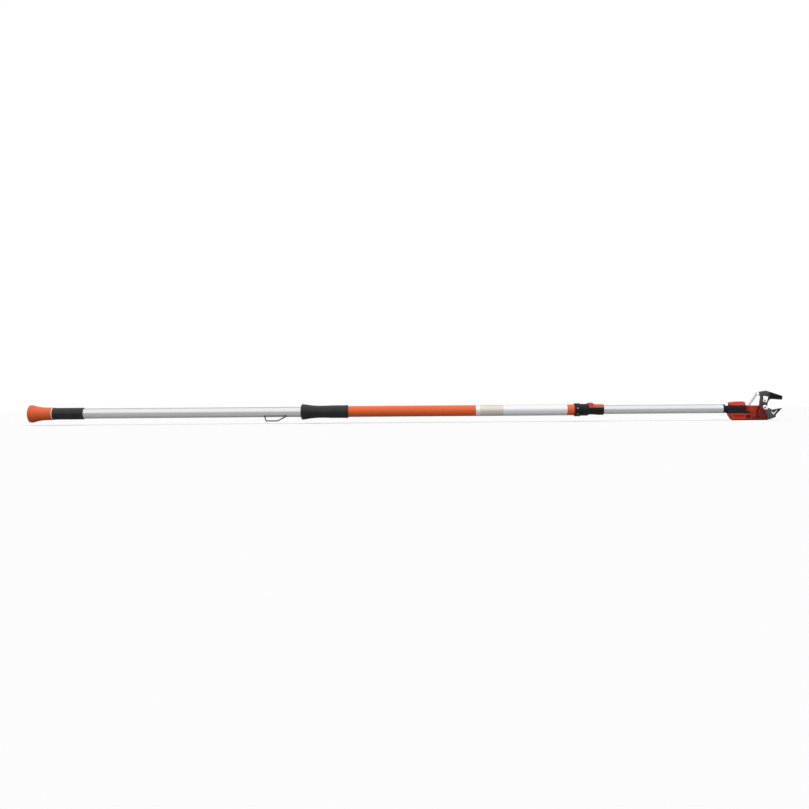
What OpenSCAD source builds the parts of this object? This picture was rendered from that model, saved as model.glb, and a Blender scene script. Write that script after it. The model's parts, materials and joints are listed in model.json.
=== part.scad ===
// Pole tree pruner: push the lower tube into the outer tube and the drive rod closes the blade.
// X runs along the pole from the butt to the jaws, Z is up, the pole's axis is Z = 0.
// The origin is the centre of the butt's flat end. All sizes are in millimetres.

/* [Handle] */
// Length of the orange end cap
cap_len = 69; // [55:1:90]
// Diameter of the cap's flared end
cap_end_d = 52.4; // [46:0.2:60]
// Diameter of the cap where it meets the ring
cap_neck_d = 38; // [36:0.2:42]
// Solid floor at the cap's closed end
cap_floor = 14; // [10:0.5:20]
// Width of the pale ring
ring_len = 3; // [2:0.5:5]
// Diameter of the pale ring
ring_d = 36.6; // [34:0.2:40]
// Length of the black rear grip
rear_grip_len = 92; // [70:1:130]
// Diameter of the rear grip
rear_grip_d = 35.4; // [33:0.2:38]
// Bare length of the lower tube with the jaws open
bare_len = 653; // [400:1:800]
// Outside diameter of the lower tube
lower_tube_d = 30.6; // [30:0.1:31]
// Wall of the lower tube
lower_tube_wall = 1.2; // [1:0.05:1.3]
// Push that closes the jaws
push_travel = 40.8; // [30:0.2:45]

/* [Hanger] */
// Wire diameter of the hanging loop
wire_d = 3.6; // [2.5:0.1:4.5]
// Length of the loop where it enters the tube
loop_len = 62; // [45:1:80]
// Length of the loop at its bottom
loop_base = 36; // [24:1:44]
// Drop of the loop's bottom below the pole's axis
loop_drop = 27; // [22:0.5:32]
// Room between the mid grip and the loop when the handle is pushed in
loop_room = 7.2; // [2:0.2:60]

/* [Outer pole] */
// Length of the mid grip
mid_grip_len = 139; // [110:1:170]
// Waist diameter of the mid grip
mid_grip_d = 35.2; // [35:0.2:40]
// Diameter of the mid grip's flare
mid_flare_d = 46.4; // [42:0.2:52]
// Visible length of the orange tube
sleeve_len = 677; // [600:1:800]
// Outside diameter of the orange tube
outer_tube_d = 32.8; // [32.6:0.1:33.4]
// Radial clearance of the lower tube in the outer tube
tube_slip = 0.1; // [0.06:0.01:0.2]
// Plain tube between the label and the clamp
label_back = 22; // [5:1:100]
// Length of the label
label_len = 273; // [150:1:280]
// Thickness of the label film
label_film = 0.15; // [0.1:0.05:0.3]

/* [Clamp] */
// Length of the clamp
clamp_len = 88; // [80:1:110]
// Diameter of the collar that grips the outer tube
clamp_collar_d = 39.4; // [38:0.2:42]
// Length of that collar
clamp_collar_len = 17; // [12:0.5:22]
// Diameter of the clamp's body
clamp_body_d = 35.6; // [35:0.1:37]
// Length from the clamp's start to its nose
clamp_body_len = 42; // [38:0.5:50]
// Diameter of the nose round the upper tube
clamp_nose_d = 29.2; // [28.6:0.1:30]
// Height of the clamp lever's bolt above the pole's axis
clamp_bolt_z = 17; // [16.8:0.1:18]
// Diameter of the two lever bolts
lever_bolt_d = 4; // [3:0.1:4]

/* [Upper pole] */
// Bare length of the upper tube as photographed
upper_bare_len = 357; // [340:1:600]
// Length of the upper tube inside the lower parts
upper_hidden_len = 621; // [500:1:700]
// Outside diameter of the upper tube
upper_tube_d = 26.7; // [26.4:0.1:27]
// Wall of the upper tube
upper_tube_wall = 1.2; // [1:0.05:1.4]
// Room between the clamp and the lower tube when the handle is pushed in
lower_room = 32.2; // [12:0.2:80]

/* [Drive] */
// Diameter of the drive rod
rod_d = 9.6; // [8.5:0.1:9.8]
// Diameter of the rod's front spigot
spigot_d = 6; // [5:0.1:6.4]
// Outside diameter of the drive tube
drive_tube_d = 14; // [13:0.1:14.4]
// Length of the drive tube
drive_tube_len = 1264; // [1150:1:1350]
// Distance of the rod's lower end from the butt
rod_start = 700; // [600:1:800]
// Free length of the return spring
spring_len = 92; // [80:1:110]

/* [Head] */
// Width of the casing
casing_w = 28; // [27:0.5:34]
// Wall of the casing
casing_wall = 2.2; // [1.6:0.1:2.4]
// Height of the raised cheek on each casing side
cheek_rise = 1.6; // [0.8:0.1:2.5]
// Diameter of the swivel collar
collar_d = 25; // [24:0.2:25.4]
// Diameter of the stem that the head turns on
stem_d = 17; // [15:0.2:18]
// Height of the lock lever's bolt above the pole's axis
lock_bolt_z = 15.2; // [15:0.1:16]
// Thickness of the blade
blade_t = 4.7; // [3.5:0.1:4.8]
// Thickness of the lower jaw
jaw_t = 6; // [4:0.1:6.4]
// Diameter of the blade's pivot bolt
pivot_d = 8; // [6:0.1:9]
// Diameter of the pivot bolt's head
pivot_head_d = 12.6; // [11:0.1:12.8]
// Thickness of the link
link_t = 3; // [2:0.1:3.4]
// Width of the link
link_w = 6; // [5:0.1:6.4]
// Diameter of the link's pins
link_pin_d = 6; // [4:0.1:6]

/* [Hidden] */
$fn = 72;

// Gaps: fixed pieces, running pins, moving faces, end faces, and the overshoot of a cut
seat = 0.03;
run = 0.06;
free = 0.4;
face_gap = 0.3;
over = 1;

// Colours
orange = [0.93, 0.36, 0.16];
black = [0.1, 0.1, 0.11];
silver = [0.8, 0.81, 0.83];
steel = [0.62, 0.63, 0.65];
pale = [0.86, 0.84, 0.8];

// Stations along the pole
x_ring = cap_len;
x_rear = x_ring + ring_len;
x_bare = x_rear + rear_grip_len;
x_grip = x_bare + bare_len;
x_sleeve = x_grip + mid_grip_len;
x_clamp = x_sleeve + sleeve_len;
x_label = x_clamp - label_back - label_len;
x_nose = x_clamp + clamp_body_len;
x_clamp_end = x_clamp + clamp_len;
x_socket = x_clamp_end + upper_bare_len;
x_tail = x_clamp_end - upper_hidden_len;
x_lower_end = x_clamp - push_travel - lower_room;

// Tube bores
lower_bore = lower_tube_d - 2 * lower_tube_wall;
outer_bore = lower_tube_d + 2 * tube_slip;
upper_bore = upper_tube_d - 2 * upper_tube_wall;
rod_bore = rod_d + 2 * run;
upper_slide_bore = upper_tube_d + 2 * run;

// Handle details
cap_round = 5;
cap_straight = 8;
flare_len = 50;
flare_power = 2.2;
cap_screw_d = 4;
cap_screw_head_d = 7;
cap_screw_head = 2;
cap_screw_wall = 3;
cap_screw_grip = 7;
rear_lip_len = 6;
rear_lip = 0.6;
anchor_len = 46;
anchor_socket = 20;
anchor_pin_d = 4;
x_anchor = cap_floor + 2;
x_cap_screw = x_anchor + 8;
cap_screw_z = -lower_tube_d / 2 - cap_screw_wall;
x_drive_tube = x_anchor + anchor_socket;
x_anchor_pin = (x_drive_tube + x_anchor + anchor_len) / 2;
glide_flange = 5;
glide_spigot = 20;

// Hanging loop: its plane stands off the tube's front, its legs enter the tube below the axis
loop_tilt = 24;
knuckle = 0.1;
loop_r = lower_tube_d / 2 + wire_d / 2 + knuckle;
loop_end_r = lower_bore / 2 + seat;
loop_y = -loop_r * cos(loop_tilt);
loop_top = -loop_r * sin(loop_tilt);
x_loop = x_grip - push_travel - loop_room - loop_len;

// Outer pole details
wiper_len = 4;
wiper_d = 38;
grip_lip = 0.8;
grip_lip_len = 8;
x_outer = x_grip + wiper_len;
clamp_seat_len = 34;

// Clamp details
ear_lead = 5.5;
x_clamp_bolt = x_nose + ear_lead;
ear_gap = 1;
ear_y = 7.7;
ear_r = 5;
arm_y = 8;
arm_end_y = 12.5;
arm_r = 4.3;
bolt_head_len = 2;
bolt_head_d = 7;
saddle_z = 5.5;
saddle_root_t = 2.2;
saddle_tip_t = 1.2;
nose_wall = 2;
bush_len = clamp_body_len - clamp_seat_len - nose_wall;
collar_screw_d = 5;
collar_screw_angles = [14, -41];

// Stem and swivel
flange_len = 6;
stem_spigot = 38;
stem_pin_d = 4;
stem_pin_back = 18;
stem_nose = 2;
clip_t = 1.4;
clip_d = 20.4;
groove_d = 14;
flange_step = 0.4;
collar_journal = 36;
collar_len = 61.7;
chamber_d = 22;
chamber_slot = 4;
collar_x = flange_len + free;
x_step = collar_x + collar_journal;
x_stem_clip = x_step + face_gap;
x_collar_end = collar_x + collar_len;
skirt_t = 2;
skirt_top = -6;
foot_x = [20.2, 44];
foot_y = 8;
foot_z = -24;
foot_screw_x = [24, 38];
foot_screw_z = -19;
foot_screw_d = 4;

// Lock lever, from the bolt to its free end
lock_x = 23;
lock_ear_r = 4.1;
lock_ear_y = 8.9;
lock_arm_y = 9.2;
lock_arm_end_y = 11.5;
lock_arm_r = 5.5;
lock_len = 45;
lock_low = 6.4;
lock_top = 6.3;
lock_web = 1.7;

// Drive details
collar_back = 8;
rod_collar_d = 20;
spring_d = 17;
spring_wire = 2;
tip_len = 22;
tip_stud_d = 5;
tip_stud = 12;
rod_reach = 9.3;
rod_front = x_step + rod_reach;
carriage_x = rod_front + face_gap;
carriage_len = 16;
carriage_half = 5;
carriage_z = [-25, 6];
x_carriage_end = carriage_x + carriage_len;
rod_clip_t = 1.2;
rod_nose = 1;
x_rod_clip = x_carriage_end + face_gap;
rod_clip_d = 9.4;
rod_neck_d = spigot_d - 1;

// Linkage points in the head's own frame, X from the upper tube's end
pivot = [125, 3];
link_top = [103, 44.5];
slot_x = 7.3;
link_low = [carriage_x + slot_x, -18];
slot_rise = 3.6;
slot_side = 0.6;
blade_y = -blade_t;
jaw_y = face_gap;
link_gap = 0.5;
link_y = blade_y - link_gap;
pin_head = 1.4;
pin_head_d = 1.5 * link_pin_d;
blade_hub_r = 11;
pivot_head = 3.6;
pivot_key = 6;
pivot_key_depth = 2;
nut_t = 3.2;
nut_d = 1.75 * pivot_d;
jaw_hub_r = 10;
eye_r = 5.2;

// Casing outline, its inside and its raised cheek
ear_top = -13.2;
casing_top = 9.2;
casing_low = -35;
ear_left = 12;
block_left = 69;
outline = [
    [ear_left, ear_top], [block_left, ear_top], [block_left, casing_top], [112.5, casing_top],
    [123, -3.5], [133, -33], [131, casing_low], [26, casing_low], [ear_left, -17]
];
slant = casing_wall * 1.05;
inside = [
    [ear_left + casing_wall, ear_top - casing_wall],
    [block_left + casing_wall, ear_top - casing_wall],
    [block_left + casing_wall, casing_top - casing_wall],
    [112.5 - casing_wall / 2, casing_top - casing_wall],
    [123 - slant, -3.5 - casing_wall / 3],
    [133 - 1.2 * slant, casing_low + casing_wall],
    [26 + casing_wall / 2, casing_low + casing_wall],
    [ear_left + casing_wall, -17 - casing_wall / 3]
];
cheek = [[111, 6], [97, -14], [102, -24.5], [130, -27.5], [121, -4]];
way_low = ear_top - casing_wall - over;
past_jaw = pivot[0] + 20;
jaw_floor = 0.6;
casing_half = casing_w / 2;
casing_in = casing_half - casing_wall;
way_y = link_t + pin_head + seat - link_y + free;
jaw_bolt_at = [[119, -14], [125, -27]];
jaw_bolt_d = 5;
jaw_bolt_boss = 5;
jaw_bolt_blind = 9;
screw_boss = 4;
screw_head_d = 7;
screw_head = 2;
rib_x = [x_step + 1, x_carriage_end + push_travel + 1];
rib_y = 8;

// Blade, plate and lower jaw outlines
blade_outline = [
    [104, 49.4], [129.7, 53.5], [179, 37], [179, 25], [143, 28], [134, 8], [114, 0], [112, 8.6],
    [114, 38], [104, 39.6]
];
plate_outline = [[122.5, 20], [133.5, 18], [138, 34], [124, 36.5]];
plate_t = 0.8;
rivet_at = [[126, 23.5], [132.5, 31]];
rivet_d = 3;
rivet_head_d = 4.6;
jaw_outline = [
    [111.5, -8], [111.5, -31.5], [128, -32.2], [135, -34], [143, -32.5], [161, -26], [161.5, -22],
    [163, -17], [180, 0.8], [164, -1.8], [148, -4.3], [141, 2.2], [130, 8], [118, -4]
];
window = [[149, -10.2], [156.3, -19], [167.5, -6], [164.7, -5.6], [156.5, -14.8], [151.7, -9.6]];

// A slab of a drawing in the X-Z plane between two Y faces
module slab(y0, y1) {
    translate([0, y1, 0]) rotate([90, 0, 0]) linear_extrude(height = y1 - y0) children();
}

// A round bar along X
module x_bar(x0, x1, d) {
    translate([x0, 0, 0]) rotate([0, 90, 0]) cylinder(h = x1 - x0, d = d);
}

// A tube along X
module x_tube(x0, x1, od, id) {
    difference() {
        x_bar(x0, x1, od);
        x_bar(x0 - over, x1 + over, id);
    }
}

// A round bar along Y through a point of the X-Z plane
module y_bar(at, y0, y1, d) {
    translate([at[0], y1, at[1]]) rotate([90, 0, 0]) cylinder(h = y1 - y0, d = d);
}

// A round bar along Z at a station on the pole's axis
module z_bar(x, z0, z1, d) {
    translate([x, 0, z0]) cylinder(h = z1 - z0, d = d);
}

// A box between two corners
module block(low, high) {
    translate(low) cube(high - low);
}

// A solid turned about the pole's axis from pairs of X and radius
module turned(profile) {
    rotate([0, 90, 0]) rotate_extrude() polygon([for (p = profile) [p[1], p[0]]]);
}

// The head's own frame starts at the upper tube's end
module at_head() {
    translate([x_socket, 0, 0]) children();
}

function circle_at(x, r, from, to, steps) =
    [for (i = [0:steps]) let (a = from + (to - from) * i / steps) x + r * [cos(a), sin(a)]];

// Handle

module end_cap() {
    end_r = cap_end_d / 2;
    neck_r = cap_neck_d / 2;
    rim = circle_at([cap_round, end_r - cap_round], cap_round, 180, 90, 6);
    flare = [for (i = [0:10]) let (t = i / 10)
        [cap_straight + flare_len * t, neck_r + (end_r - neck_r) * pow(1 - t, flare_power)]];
    color(orange) difference() {
        turned(concat([[0, 0]], rim, flare, [[cap_len, neck_r], [cap_len, 0]]));
        x_bar(cap_floor, cap_len + over, lower_tube_d + 2 * seat);
        z_bar(x_cap_screw, -cap_end_d, 0, cap_screw_d + 2 * seat);
        z_bar(x_cap_screw, -cap_end_d, cap_screw_z, cap_screw_head_d + 2 * seat);
    }
}

module cap_ring() {
    color(pale) x_tube(x_ring, x_rear, ring_d, lower_tube_d + 2 * seat);
}

module rear_grip() {
    r = rear_grip_d / 2;
    color(black) difference() {
        turned([
            [x_rear, 0], [x_rear, r + rear_lip], [x_rear + rear_lip_len, r + rear_lip],
            [x_rear + rear_lip_len + 2, r], [x_bare - 1, r], [x_bare, r - 1], [x_bare, 0]
        ]);
        x_bar(x_rear - over, x_bare + over, lower_tube_d + 2 * seat);
    }
}

module lower_tube() {
    color(silver) difference() {
        x_tube(cap_floor, x_lower_end, lower_tube_d, lower_bore);
        z_bar(x_anchor_pin, -lower_tube_d, lower_tube_d, anchor_pin_d + 2 * seat);
        z_bar(x_cap_screw, -lower_tube_d, 0, cap_screw_d + 2 * seat);
        loop_legs(lower_tube_d, 0, wire_d + 2 * seat);
    }
}

module lower_glide() {
    color(black) difference() {
        union() {
            x_bar(x_lower_end - glide_spigot, x_lower_end, lower_bore - 2 * seat);
            x_bar(x_lower_end, x_lower_end + glide_flange, lower_tube_d);
        }
        x_bar(x_lower_end - glide_spigot - over, x_lower_end + glide_flange + over, upper_slide_bore);
    }
}

// The two radial legs of the hanging loop, from one radius in to another
module loop_legs(r1, r0, d) {
    for (x = [x_loop, x_loop + loop_len]) rotate([loop_tilt, 0, 0]) y_bar([x, 0], -r1, -r0, d);
}

// One straight piece of the hanging wire, with a round end
module wire(from, to) {
    run_v = to - from;
    len_v = norm(run_v);
    translate(from) rotate([0, acos(run_v[2] / len_v), atan2(run_v[1], run_v[0])])
        cylinder(h = len_v, d = wire_d);
    translate(to) sphere(d = wire_d + 2 * knuckle);
}

module hanger_wire() {
    low_right = [x_loop + loop_base, loop_y, -loop_drop];
    low_left = [x_loop, loop_y, -loop_drop];
    top_left = [x_loop, loop_y, loop_top];
    top_right = [x_loop + loop_len, loop_y, loop_top];
    color(black) union() {
        loop_legs(loop_r, loop_end_r, wire_d);
        translate(top_left) sphere(d = wire_d + 2 * knuckle);
        wire(top_left, low_left);
        wire(low_left, low_right);
        wire(low_right, top_right);
    }
}

module drive_anchor() {
    color(steel) difference() {
        x_bar(x_anchor, x_anchor + anchor_len, lower_bore - 2 * seat);
        x_bar(x_drive_tube, x_anchor + anchor_len + over, drive_tube_d + 2 * seat);
        z_bar(x_anchor_pin, -lower_tube_d, lower_tube_d, anchor_pin_d + 2 * seat);
        z_bar(x_cap_screw, -lower_tube_d, -cap_screw_grip + over, cap_screw_d + 2 * seat);
    }
}

module anchor_pin() {
    half = lower_tube_d / 2 - free;
    color(steel) z_bar(x_anchor_pin, -half, half, anchor_pin_d);
}

module cap_screw() {
    color(steel) union() {
        z_bar(x_cap_screw, cap_screw_z, -cap_screw_grip, cap_screw_d);
        z_bar(x_cap_screw, cap_screw_z - cap_screw_head, cap_screw_z, cap_screw_head_d);
    }
}

module drive_tube() {
    color(silver) difference() {
        x_tube(x_drive_tube, x_drive_tube + drive_tube_len, drive_tube_d, rod_bore);
        z_bar(x_anchor_pin, -lower_tube_d, lower_tube_d, anchor_pin_d + 2 * seat);
    }
}

// Outer pole

module mid_grip() {
    flare_r = mid_flare_d / 2;
    waist_r = mid_grip_d / 2;
    color(black) difference() {
        turned([
            [x_grip, 0], [x_grip, flare_r - 2], [x_grip + 2, flare_r], [x_grip + 9, flare_r],
            [x_grip + 20, (flare_r + waist_r) / 2], [x_grip + 42, waist_r + 0.2],
            [x_grip + 70, waist_r], [x_sleeve - 49, waist_r + grip_lip],
            [x_sleeve - grip_lip_len - 3, waist_r + grip_lip],
            [x_sleeve - grip_lip_len, waist_r + 2 * grip_lip], [x_sleeve - 1, waist_r + 2 * grip_lip],
            [x_sleeve, waist_r + grip_lip], [x_sleeve, 0]
        ]);
        x_bar(x_grip - over, x_sleeve + over, outer_tube_d + 2 * seat);
        x_bar(x_grip - over, x_outer, wiper_d + 2 * seat);
    }
}

module grip_wiper() {
    color(pale) x_tube(x_grip, x_outer, wiper_d, lower_tube_d + 2 * run);
}

module outer_tube() {
    color(orange) x_tube(x_outer, x_clamp + clamp_seat_len, outer_tube_d, outer_bore);
}

module label_wrap() {
    bore = outer_tube_d + 2 * seat;
    color(pale) x_tube(x_label, x_label + label_len, bore + 2 * label_film, bore);
}

// Clamp at the outer tube's end

module collar_screw_holes(d, r0, r1) {
    for (a = collar_screw_angles)
        translate([x_clamp + clamp_collar_len / 2, 0, 0]) rotate([-a, 0, 0])
            y_bar([0, 0], -r1, -r0, d);
}

module clamp_body() {
    ear_at = [x_clamp_bolt, clamp_bolt_z];
    color(black) difference() {
        union() {
            x_bar(x_clamp, x_clamp + clamp_collar_len, clamp_collar_d);
            x_bar(x_clamp + clamp_collar_len, x_nose, clamp_body_d);
            x_bar(x_nose, x_clamp_end, clamp_nose_d);
            for (s = [-1, 1]) scale([1, s, 1]) slab(ear_gap, ear_y) union() {
                translate(ear_at) circle(r = ear_r);
                translate([x_clamp_bolt - ear_r, 0]) square([2 * ear_r, clamp_bolt_z]);
            }
        }
        x_bar(x_clamp - over, x_nose - nose_wall, outer_tube_d + 2 * seat);
        x_bar(x_nose - nose_wall - over, x_clamp_end + over, upper_slide_bore + 2 * run);
        block([x_nose - nose_wall, -ear_gap, 0], [x_clamp_end + over, ear_gap, clamp_body_d]);
        y_bar(ear_at, -clamp_body_d, clamp_body_d, lever_bolt_d + 2 * seat);
        collar_screw_holes(collar_screw_d + 2 * seat, 0, clamp_body_d);
    }
}

module clamp_bush() {
    x_bush = x_clamp + clamp_seat_len;
    color(pale) x_tube(x_bush, x_bush + bush_len, outer_tube_d, upper_slide_bore);
}

module collar_screws() {
    low_r = outer_tube_d / 2 + seat;
    color(silver) collar_screw_holes(collar_screw_d, low_r, clamp_collar_d / 2 - face_gap);
}

module clamp_bolt() {
    at = [x_clamp_bolt, clamp_bolt_z];
    color(silver) union() {
        y_bar(at, -arm_end_y - free, arm_end_y + free + bolt_head_len, lever_bolt_d);
        y_bar(at, -arm_end_y - free - bolt_head_len, -arm_end_y - free, bolt_head_d);
    }
}

module clamp_nut() {
    at = [x_clamp_bolt, clamp_bolt_z];
    color(silver) difference() {
        y_bar(at, arm_end_y + free, arm_end_y + free + bolt_head_len, bolt_head_d);
        y_bar(at, 0, 2 * arm_end_y, lever_bolt_d + 2 * seat);
    }
}

module clamp_lever() {
    at = [x_clamp_bolt, clamp_bolt_z];
    inner = clamp_nose_d / 2 + free;
    x_saddle = x_clamp_bolt + 1;
    color(orange) difference() {
        union() {
            for (s = [-1, 1]) scale([1, s, 1]) y_bar(at, arm_y, arm_end_y, 2 * arm_r);
            intersection() {
                turned([
                    [x_saddle, inner], [x_saddle, inner + saddle_root_t],
                    [x_clamp_end, inner + saddle_tip_t], [x_clamp_end, inner]
                ]);
                block([x_saddle - over, -clamp_body_d, saddle_z],
                    [x_clamp_end + over, clamp_body_d, clamp_body_d]);
            }
        }
        block([x_saddle - over, -arm_y, 0], [x_clamp_bolt + ear_r + free, arm_y, clamp_body_d]);
        y_bar(at, -clamp_body_d, clamp_body_d, lever_bolt_d + 2 * run);
    }
}

// Upper pole

module upper_tube() {
    color(silver) difference() {
        x_tube(x_tail, x_socket, upper_tube_d, upper_bore);
        z_bar(x_socket - stem_pin_back, -upper_tube_d, upper_tube_d, stem_pin_d + 2 * seat);
    }
}

module tail_glide() {
    color(black) difference() {
        union() {
            x_bar(x_tail - glide_flange, x_tail, lower_bore - 2 * tube_slip);
            x_bar(x_tail, x_tail + glide_spigot, upper_bore - 2 * seat);
        }
        x_bar(x_tail - glide_flange - over, x_tail + glide_spigot + over, drive_tube_d + 2 * free);
    }
}

module stem_plug() {
    x_nose_end = x_stem_clip + clip_t + stem_nose;
    color(black) at_head() difference() {
        union() {
            x_bar(-stem_spigot, 0, upper_bore - 2 * seat);
            x_bar(0, flange_len, upper_tube_d - flange_step);
            x_bar(flange_len, x_stem_clip, stem_d);
            x_bar(x_stem_clip, x_stem_clip + clip_t, groove_d);
            x_bar(x_stem_clip + clip_t, x_nose_end, stem_d);
        }
        x_bar(-stem_spigot - over, x_nose_end + over, rod_bore);
        z_bar(-stem_pin_back, -upper_tube_d, upper_tube_d, stem_pin_d + 2 * seat);
    }
}

module stem_pins() {
    color(steel) at_head() for (s = [-1, 1]) scale([1, 1, s])
        z_bar(-stem_pin_back, rod_bore / 2 + free, upper_tube_d / 2 - free / 2, stem_pin_d);
}

module stem_clip() {
    color(steel) at_head()
        x_tube(x_stem_clip + seat, x_stem_clip + clip_t - seat, clip_d, groove_d + 2 * seat);
}

// Drive rod and its spring

module return_spring() {
    x_spring = -stem_spigot - spring_len + face_gap;
    color(steel) at_head()
        x_tube(x_spring, -stem_spigot - face_gap, spring_d, spring_d - 2 * spring_wire);
}

module drive_rod() {
    x_front = x_socket + rod_front;
    x_clip = x_socket + x_rod_clip;
    color(silver) difference() {
        union() {
            x_bar(rod_start, x_front, rod_d);
            x_bar(x_front, x_clip, spigot_d);
            x_bar(x_clip, x_clip + rod_clip_t, rod_neck_d);
            x_bar(x_clip + rod_clip_t, x_clip + rod_clip_t + rod_nose, spigot_d);
        }
        x_bar(rod_start - over, rod_start + tip_stud + face_gap, tip_stud_d + 2 * seat);
    }
}

module rod_collar() {
    x_collar = -stem_spigot - spring_len - collar_back;
    color(steel) at_head() x_tube(x_collar, x_collar + collar_back, rod_collar_d, rod_d + 2 * seat);
}

module rod_tip() {
    color([0.78, 0.62, 0.3]) union() {
        x_bar(rod_start - tip_len, rod_start - seat, rod_d);
        x_bar(rod_start - seat, rod_start + tip_stud, tip_stud_d);
    }
}

module rod_clip() {
    color(steel) at_head()
        x_tube(x_rod_clip + seat, x_rod_clip + rod_clip_t - seat, rod_clip_d, rod_neck_d + 2 * seat);
}

// Swivel collar and its lock lever

module swivel_collar() {
    lock_at = [lock_x, lock_bolt_z];
    color(black) at_head() difference() {
        union() {
            x_bar(collar_x, x_collar_end, collar_d);
            block([foot_x[0], -foot_y, foot_z], [foot_x[1], foot_y, 0]);
            for (s = [-1, 1]) scale([1, s, 1])
                block([x_step, way_y, ear_top + face_gap], [x_collar_end, way_y + skirt_t, skirt_top]);
            for (s = [-1, 1]) scale([1, s, 1]) slab(ear_gap, lock_ear_y) union() {
                translate(lock_at) circle(r = lock_ear_r);
                translate([lock_x - lock_ear_r, 0]) square([2 * lock_ear_r, lock_bolt_z]);
            }
        }
        x_bar(collar_x - over, x_collar_end + over, stem_d + 2 * run);
        x_bar(x_step, x_collar_end + over, chamber_d);
        block([collar_x - over, -ear_gap, 0], [x_step, ear_gap, collar_d]);
        block([x_step + chamber_slot, -way_y, -collar_d], [x_collar_end + over, way_y, 0]);
        y_bar(lock_at, -collar_d, collar_d, lever_bolt_d + 2 * seat);
        for (x = foot_screw_x) y_bar([x, foot_screw_z], -collar_d, collar_d, foot_screw_d + 2 * seat);
    }
}

module lock_bolt() {
    at = [lock_x, lock_bolt_z];
    color(silver) at_head() union() {
        y_bar(at, -lock_arm_end_y - free, lock_arm_end_y + free + bolt_head_len, lever_bolt_d);
        y_bar(at, -lock_arm_end_y - free - bolt_head_len, -lock_arm_end_y - free, bolt_head_d);
    }
}

module lock_nut() {
    at = [lock_x, lock_bolt_z];
    color(silver) at_head() difference() {
        y_bar(at, lock_arm_end_y + free, lock_arm_end_y + free + bolt_head_len, bolt_head_d);
        y_bar(at, 0, 2 * lock_arm_end_y, lever_bolt_d + 2 * seat);
    }
}

module lock_lever() {
    at = [lock_x, lock_bolt_z];
    top = lock_bolt_z + lock_top;
    low = lock_bolt_z - lock_low;
    color(orange) at_head() difference() {
        union() {
            for (s = [-1, 1]) scale([1, s, 1]) slab(lock_arm_y, lock_arm_end_y) union() {
                translate(at) circle(r = lock_arm_r);
                polygon([
                    [lock_x - 1, lock_bolt_z], [lock_x - 1, top], [lock_x + lock_len - 6, top],
                    [lock_x + lock_len, top - 5], [lock_x + lock_len, low], [lock_x + 5, low]
                ]);
            }
            slab(-lock_arm_end_y, lock_arm_end_y) polygon([
                [lock_x - 1, top - lock_web], [lock_x - 1, top], [lock_x + lock_len - 6, top],
                [lock_x + lock_len, top - 5], [lock_x + lock_len, top - 7],
                [lock_x + lock_len - 7, top - lock_web]
            ]);
        }
        y_bar(at, -collar_d, collar_d, lever_bolt_d + 2 * run);
    }
}

// Head casing

// One half of the casing, drawn for Y above zero; jaw_side is the Y where its jaw bosses end
module casing_shell(jaw_side) {
    difference() {
        union() {
            difference() {
                union() {
                    slab(0, casing_half) polygon(outline);
                    slab(casing_half - over, casing_half + cheek_rise) polygon(cheek);
                }
                slab(-over, casing_in) polygon(inside);
                block([block_left - over, -over, way_low], [past_jaw, way_y, 2 * casing_top]);
                block([x_step + chamber_slot - over, -over, way_low], [pivot[0], way_y, 0]);
                block([foot_x[0] - free, -over, way_low], [foot_x[1] + free, foot_y + free, 0]);
            }
            block([rib_x[0], 0, casing_low + casing_wall / 2], [rib_x[1], rib_y, carriage_z[0] - free]);
            for (x = foot_screw_x)
                y_bar([x, foot_screw_z], foot_y + seat, casing_half - casing_wall / 2, 2 * screw_boss);
            for (p = jaw_bolt_at) y_bar(p, jaw_side, casing_half - casing_wall / 2, 2 * jaw_bolt_boss);
        }
        block([rib_x[1] + free, -over, casing_low + jaw_floor], [past_jaw, jaw_side, casing_top]);
    }
}

module casing_front() {
    color(orange) at_head() difference() {
        scale([1, -1, 1]) casing_shell(seat);
        for (x = foot_screw_x) y_bar([x, foot_screw_z], -casing_in, 0, foot_screw_d + 2 * seat);
        for (p = jaw_bolt_at) y_bar(p, -jaw_bolt_blind, over, jaw_bolt_d + 2 * seat);
    }
}

module casing_back() {
    head_y = casing_half - screw_head;
    color(orange) at_head() difference() {
        casing_shell(jaw_y + jaw_t + seat);
        for (x = foot_screw_x) {
            y_bar([x, foot_screw_z], 0, casing_w, foot_screw_d + 2 * seat);
            y_bar([x, foot_screw_z], head_y, casing_w, screw_head_d + 2 * seat);
        }
        for (p = jaw_bolt_at) {
            y_bar(p, 0, casing_w, jaw_bolt_d + 2 * seat);
            y_bar(p, head_y, casing_w, screw_head_d + 2 * seat);
        }
    }
}

module casing_screws() {
    head_y = casing_half - screw_head;
    color(steel) at_head() for (x = foot_screw_x) union() {
        y_bar([x, foot_screw_z], free - casing_in, head_y, foot_screw_d);
        y_bar([x, foot_screw_z], head_y, casing_half - face_gap, screw_head_d);
    }
}

module jaw_bolts() {
    head_y = casing_half - screw_head;
    color(steel) at_head() for (p = jaw_bolt_at) union() {
        y_bar(p, free - jaw_bolt_blind, head_y, jaw_bolt_d);
        y_bar(p, head_y, casing_half - face_gap, screw_head_d);
    }
}

module carriage() {
    slot_w = link_pin_d + 2 * slot_side;
    color(steel) at_head() difference() {
        block([carriage_x, -carriage_half, carriage_z[0]],
            [x_carriage_end, carriage_half, carriage_z[1]]);
        x_bar(carriage_x - over, x_carriage_end + over, spigot_d + 2 * run);
        for (z = [-slot_side, slot_rise + slot_side])
            y_bar(link_low + [0, z], -casing_w, casing_w, slot_w);
        block([link_low[0] - slot_w / 2, -casing_w, link_low[1]],
            [link_low[0] + slot_w / 2, casing_w, link_low[1] + slot_rise]);
    }
}

// Jaws

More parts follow.
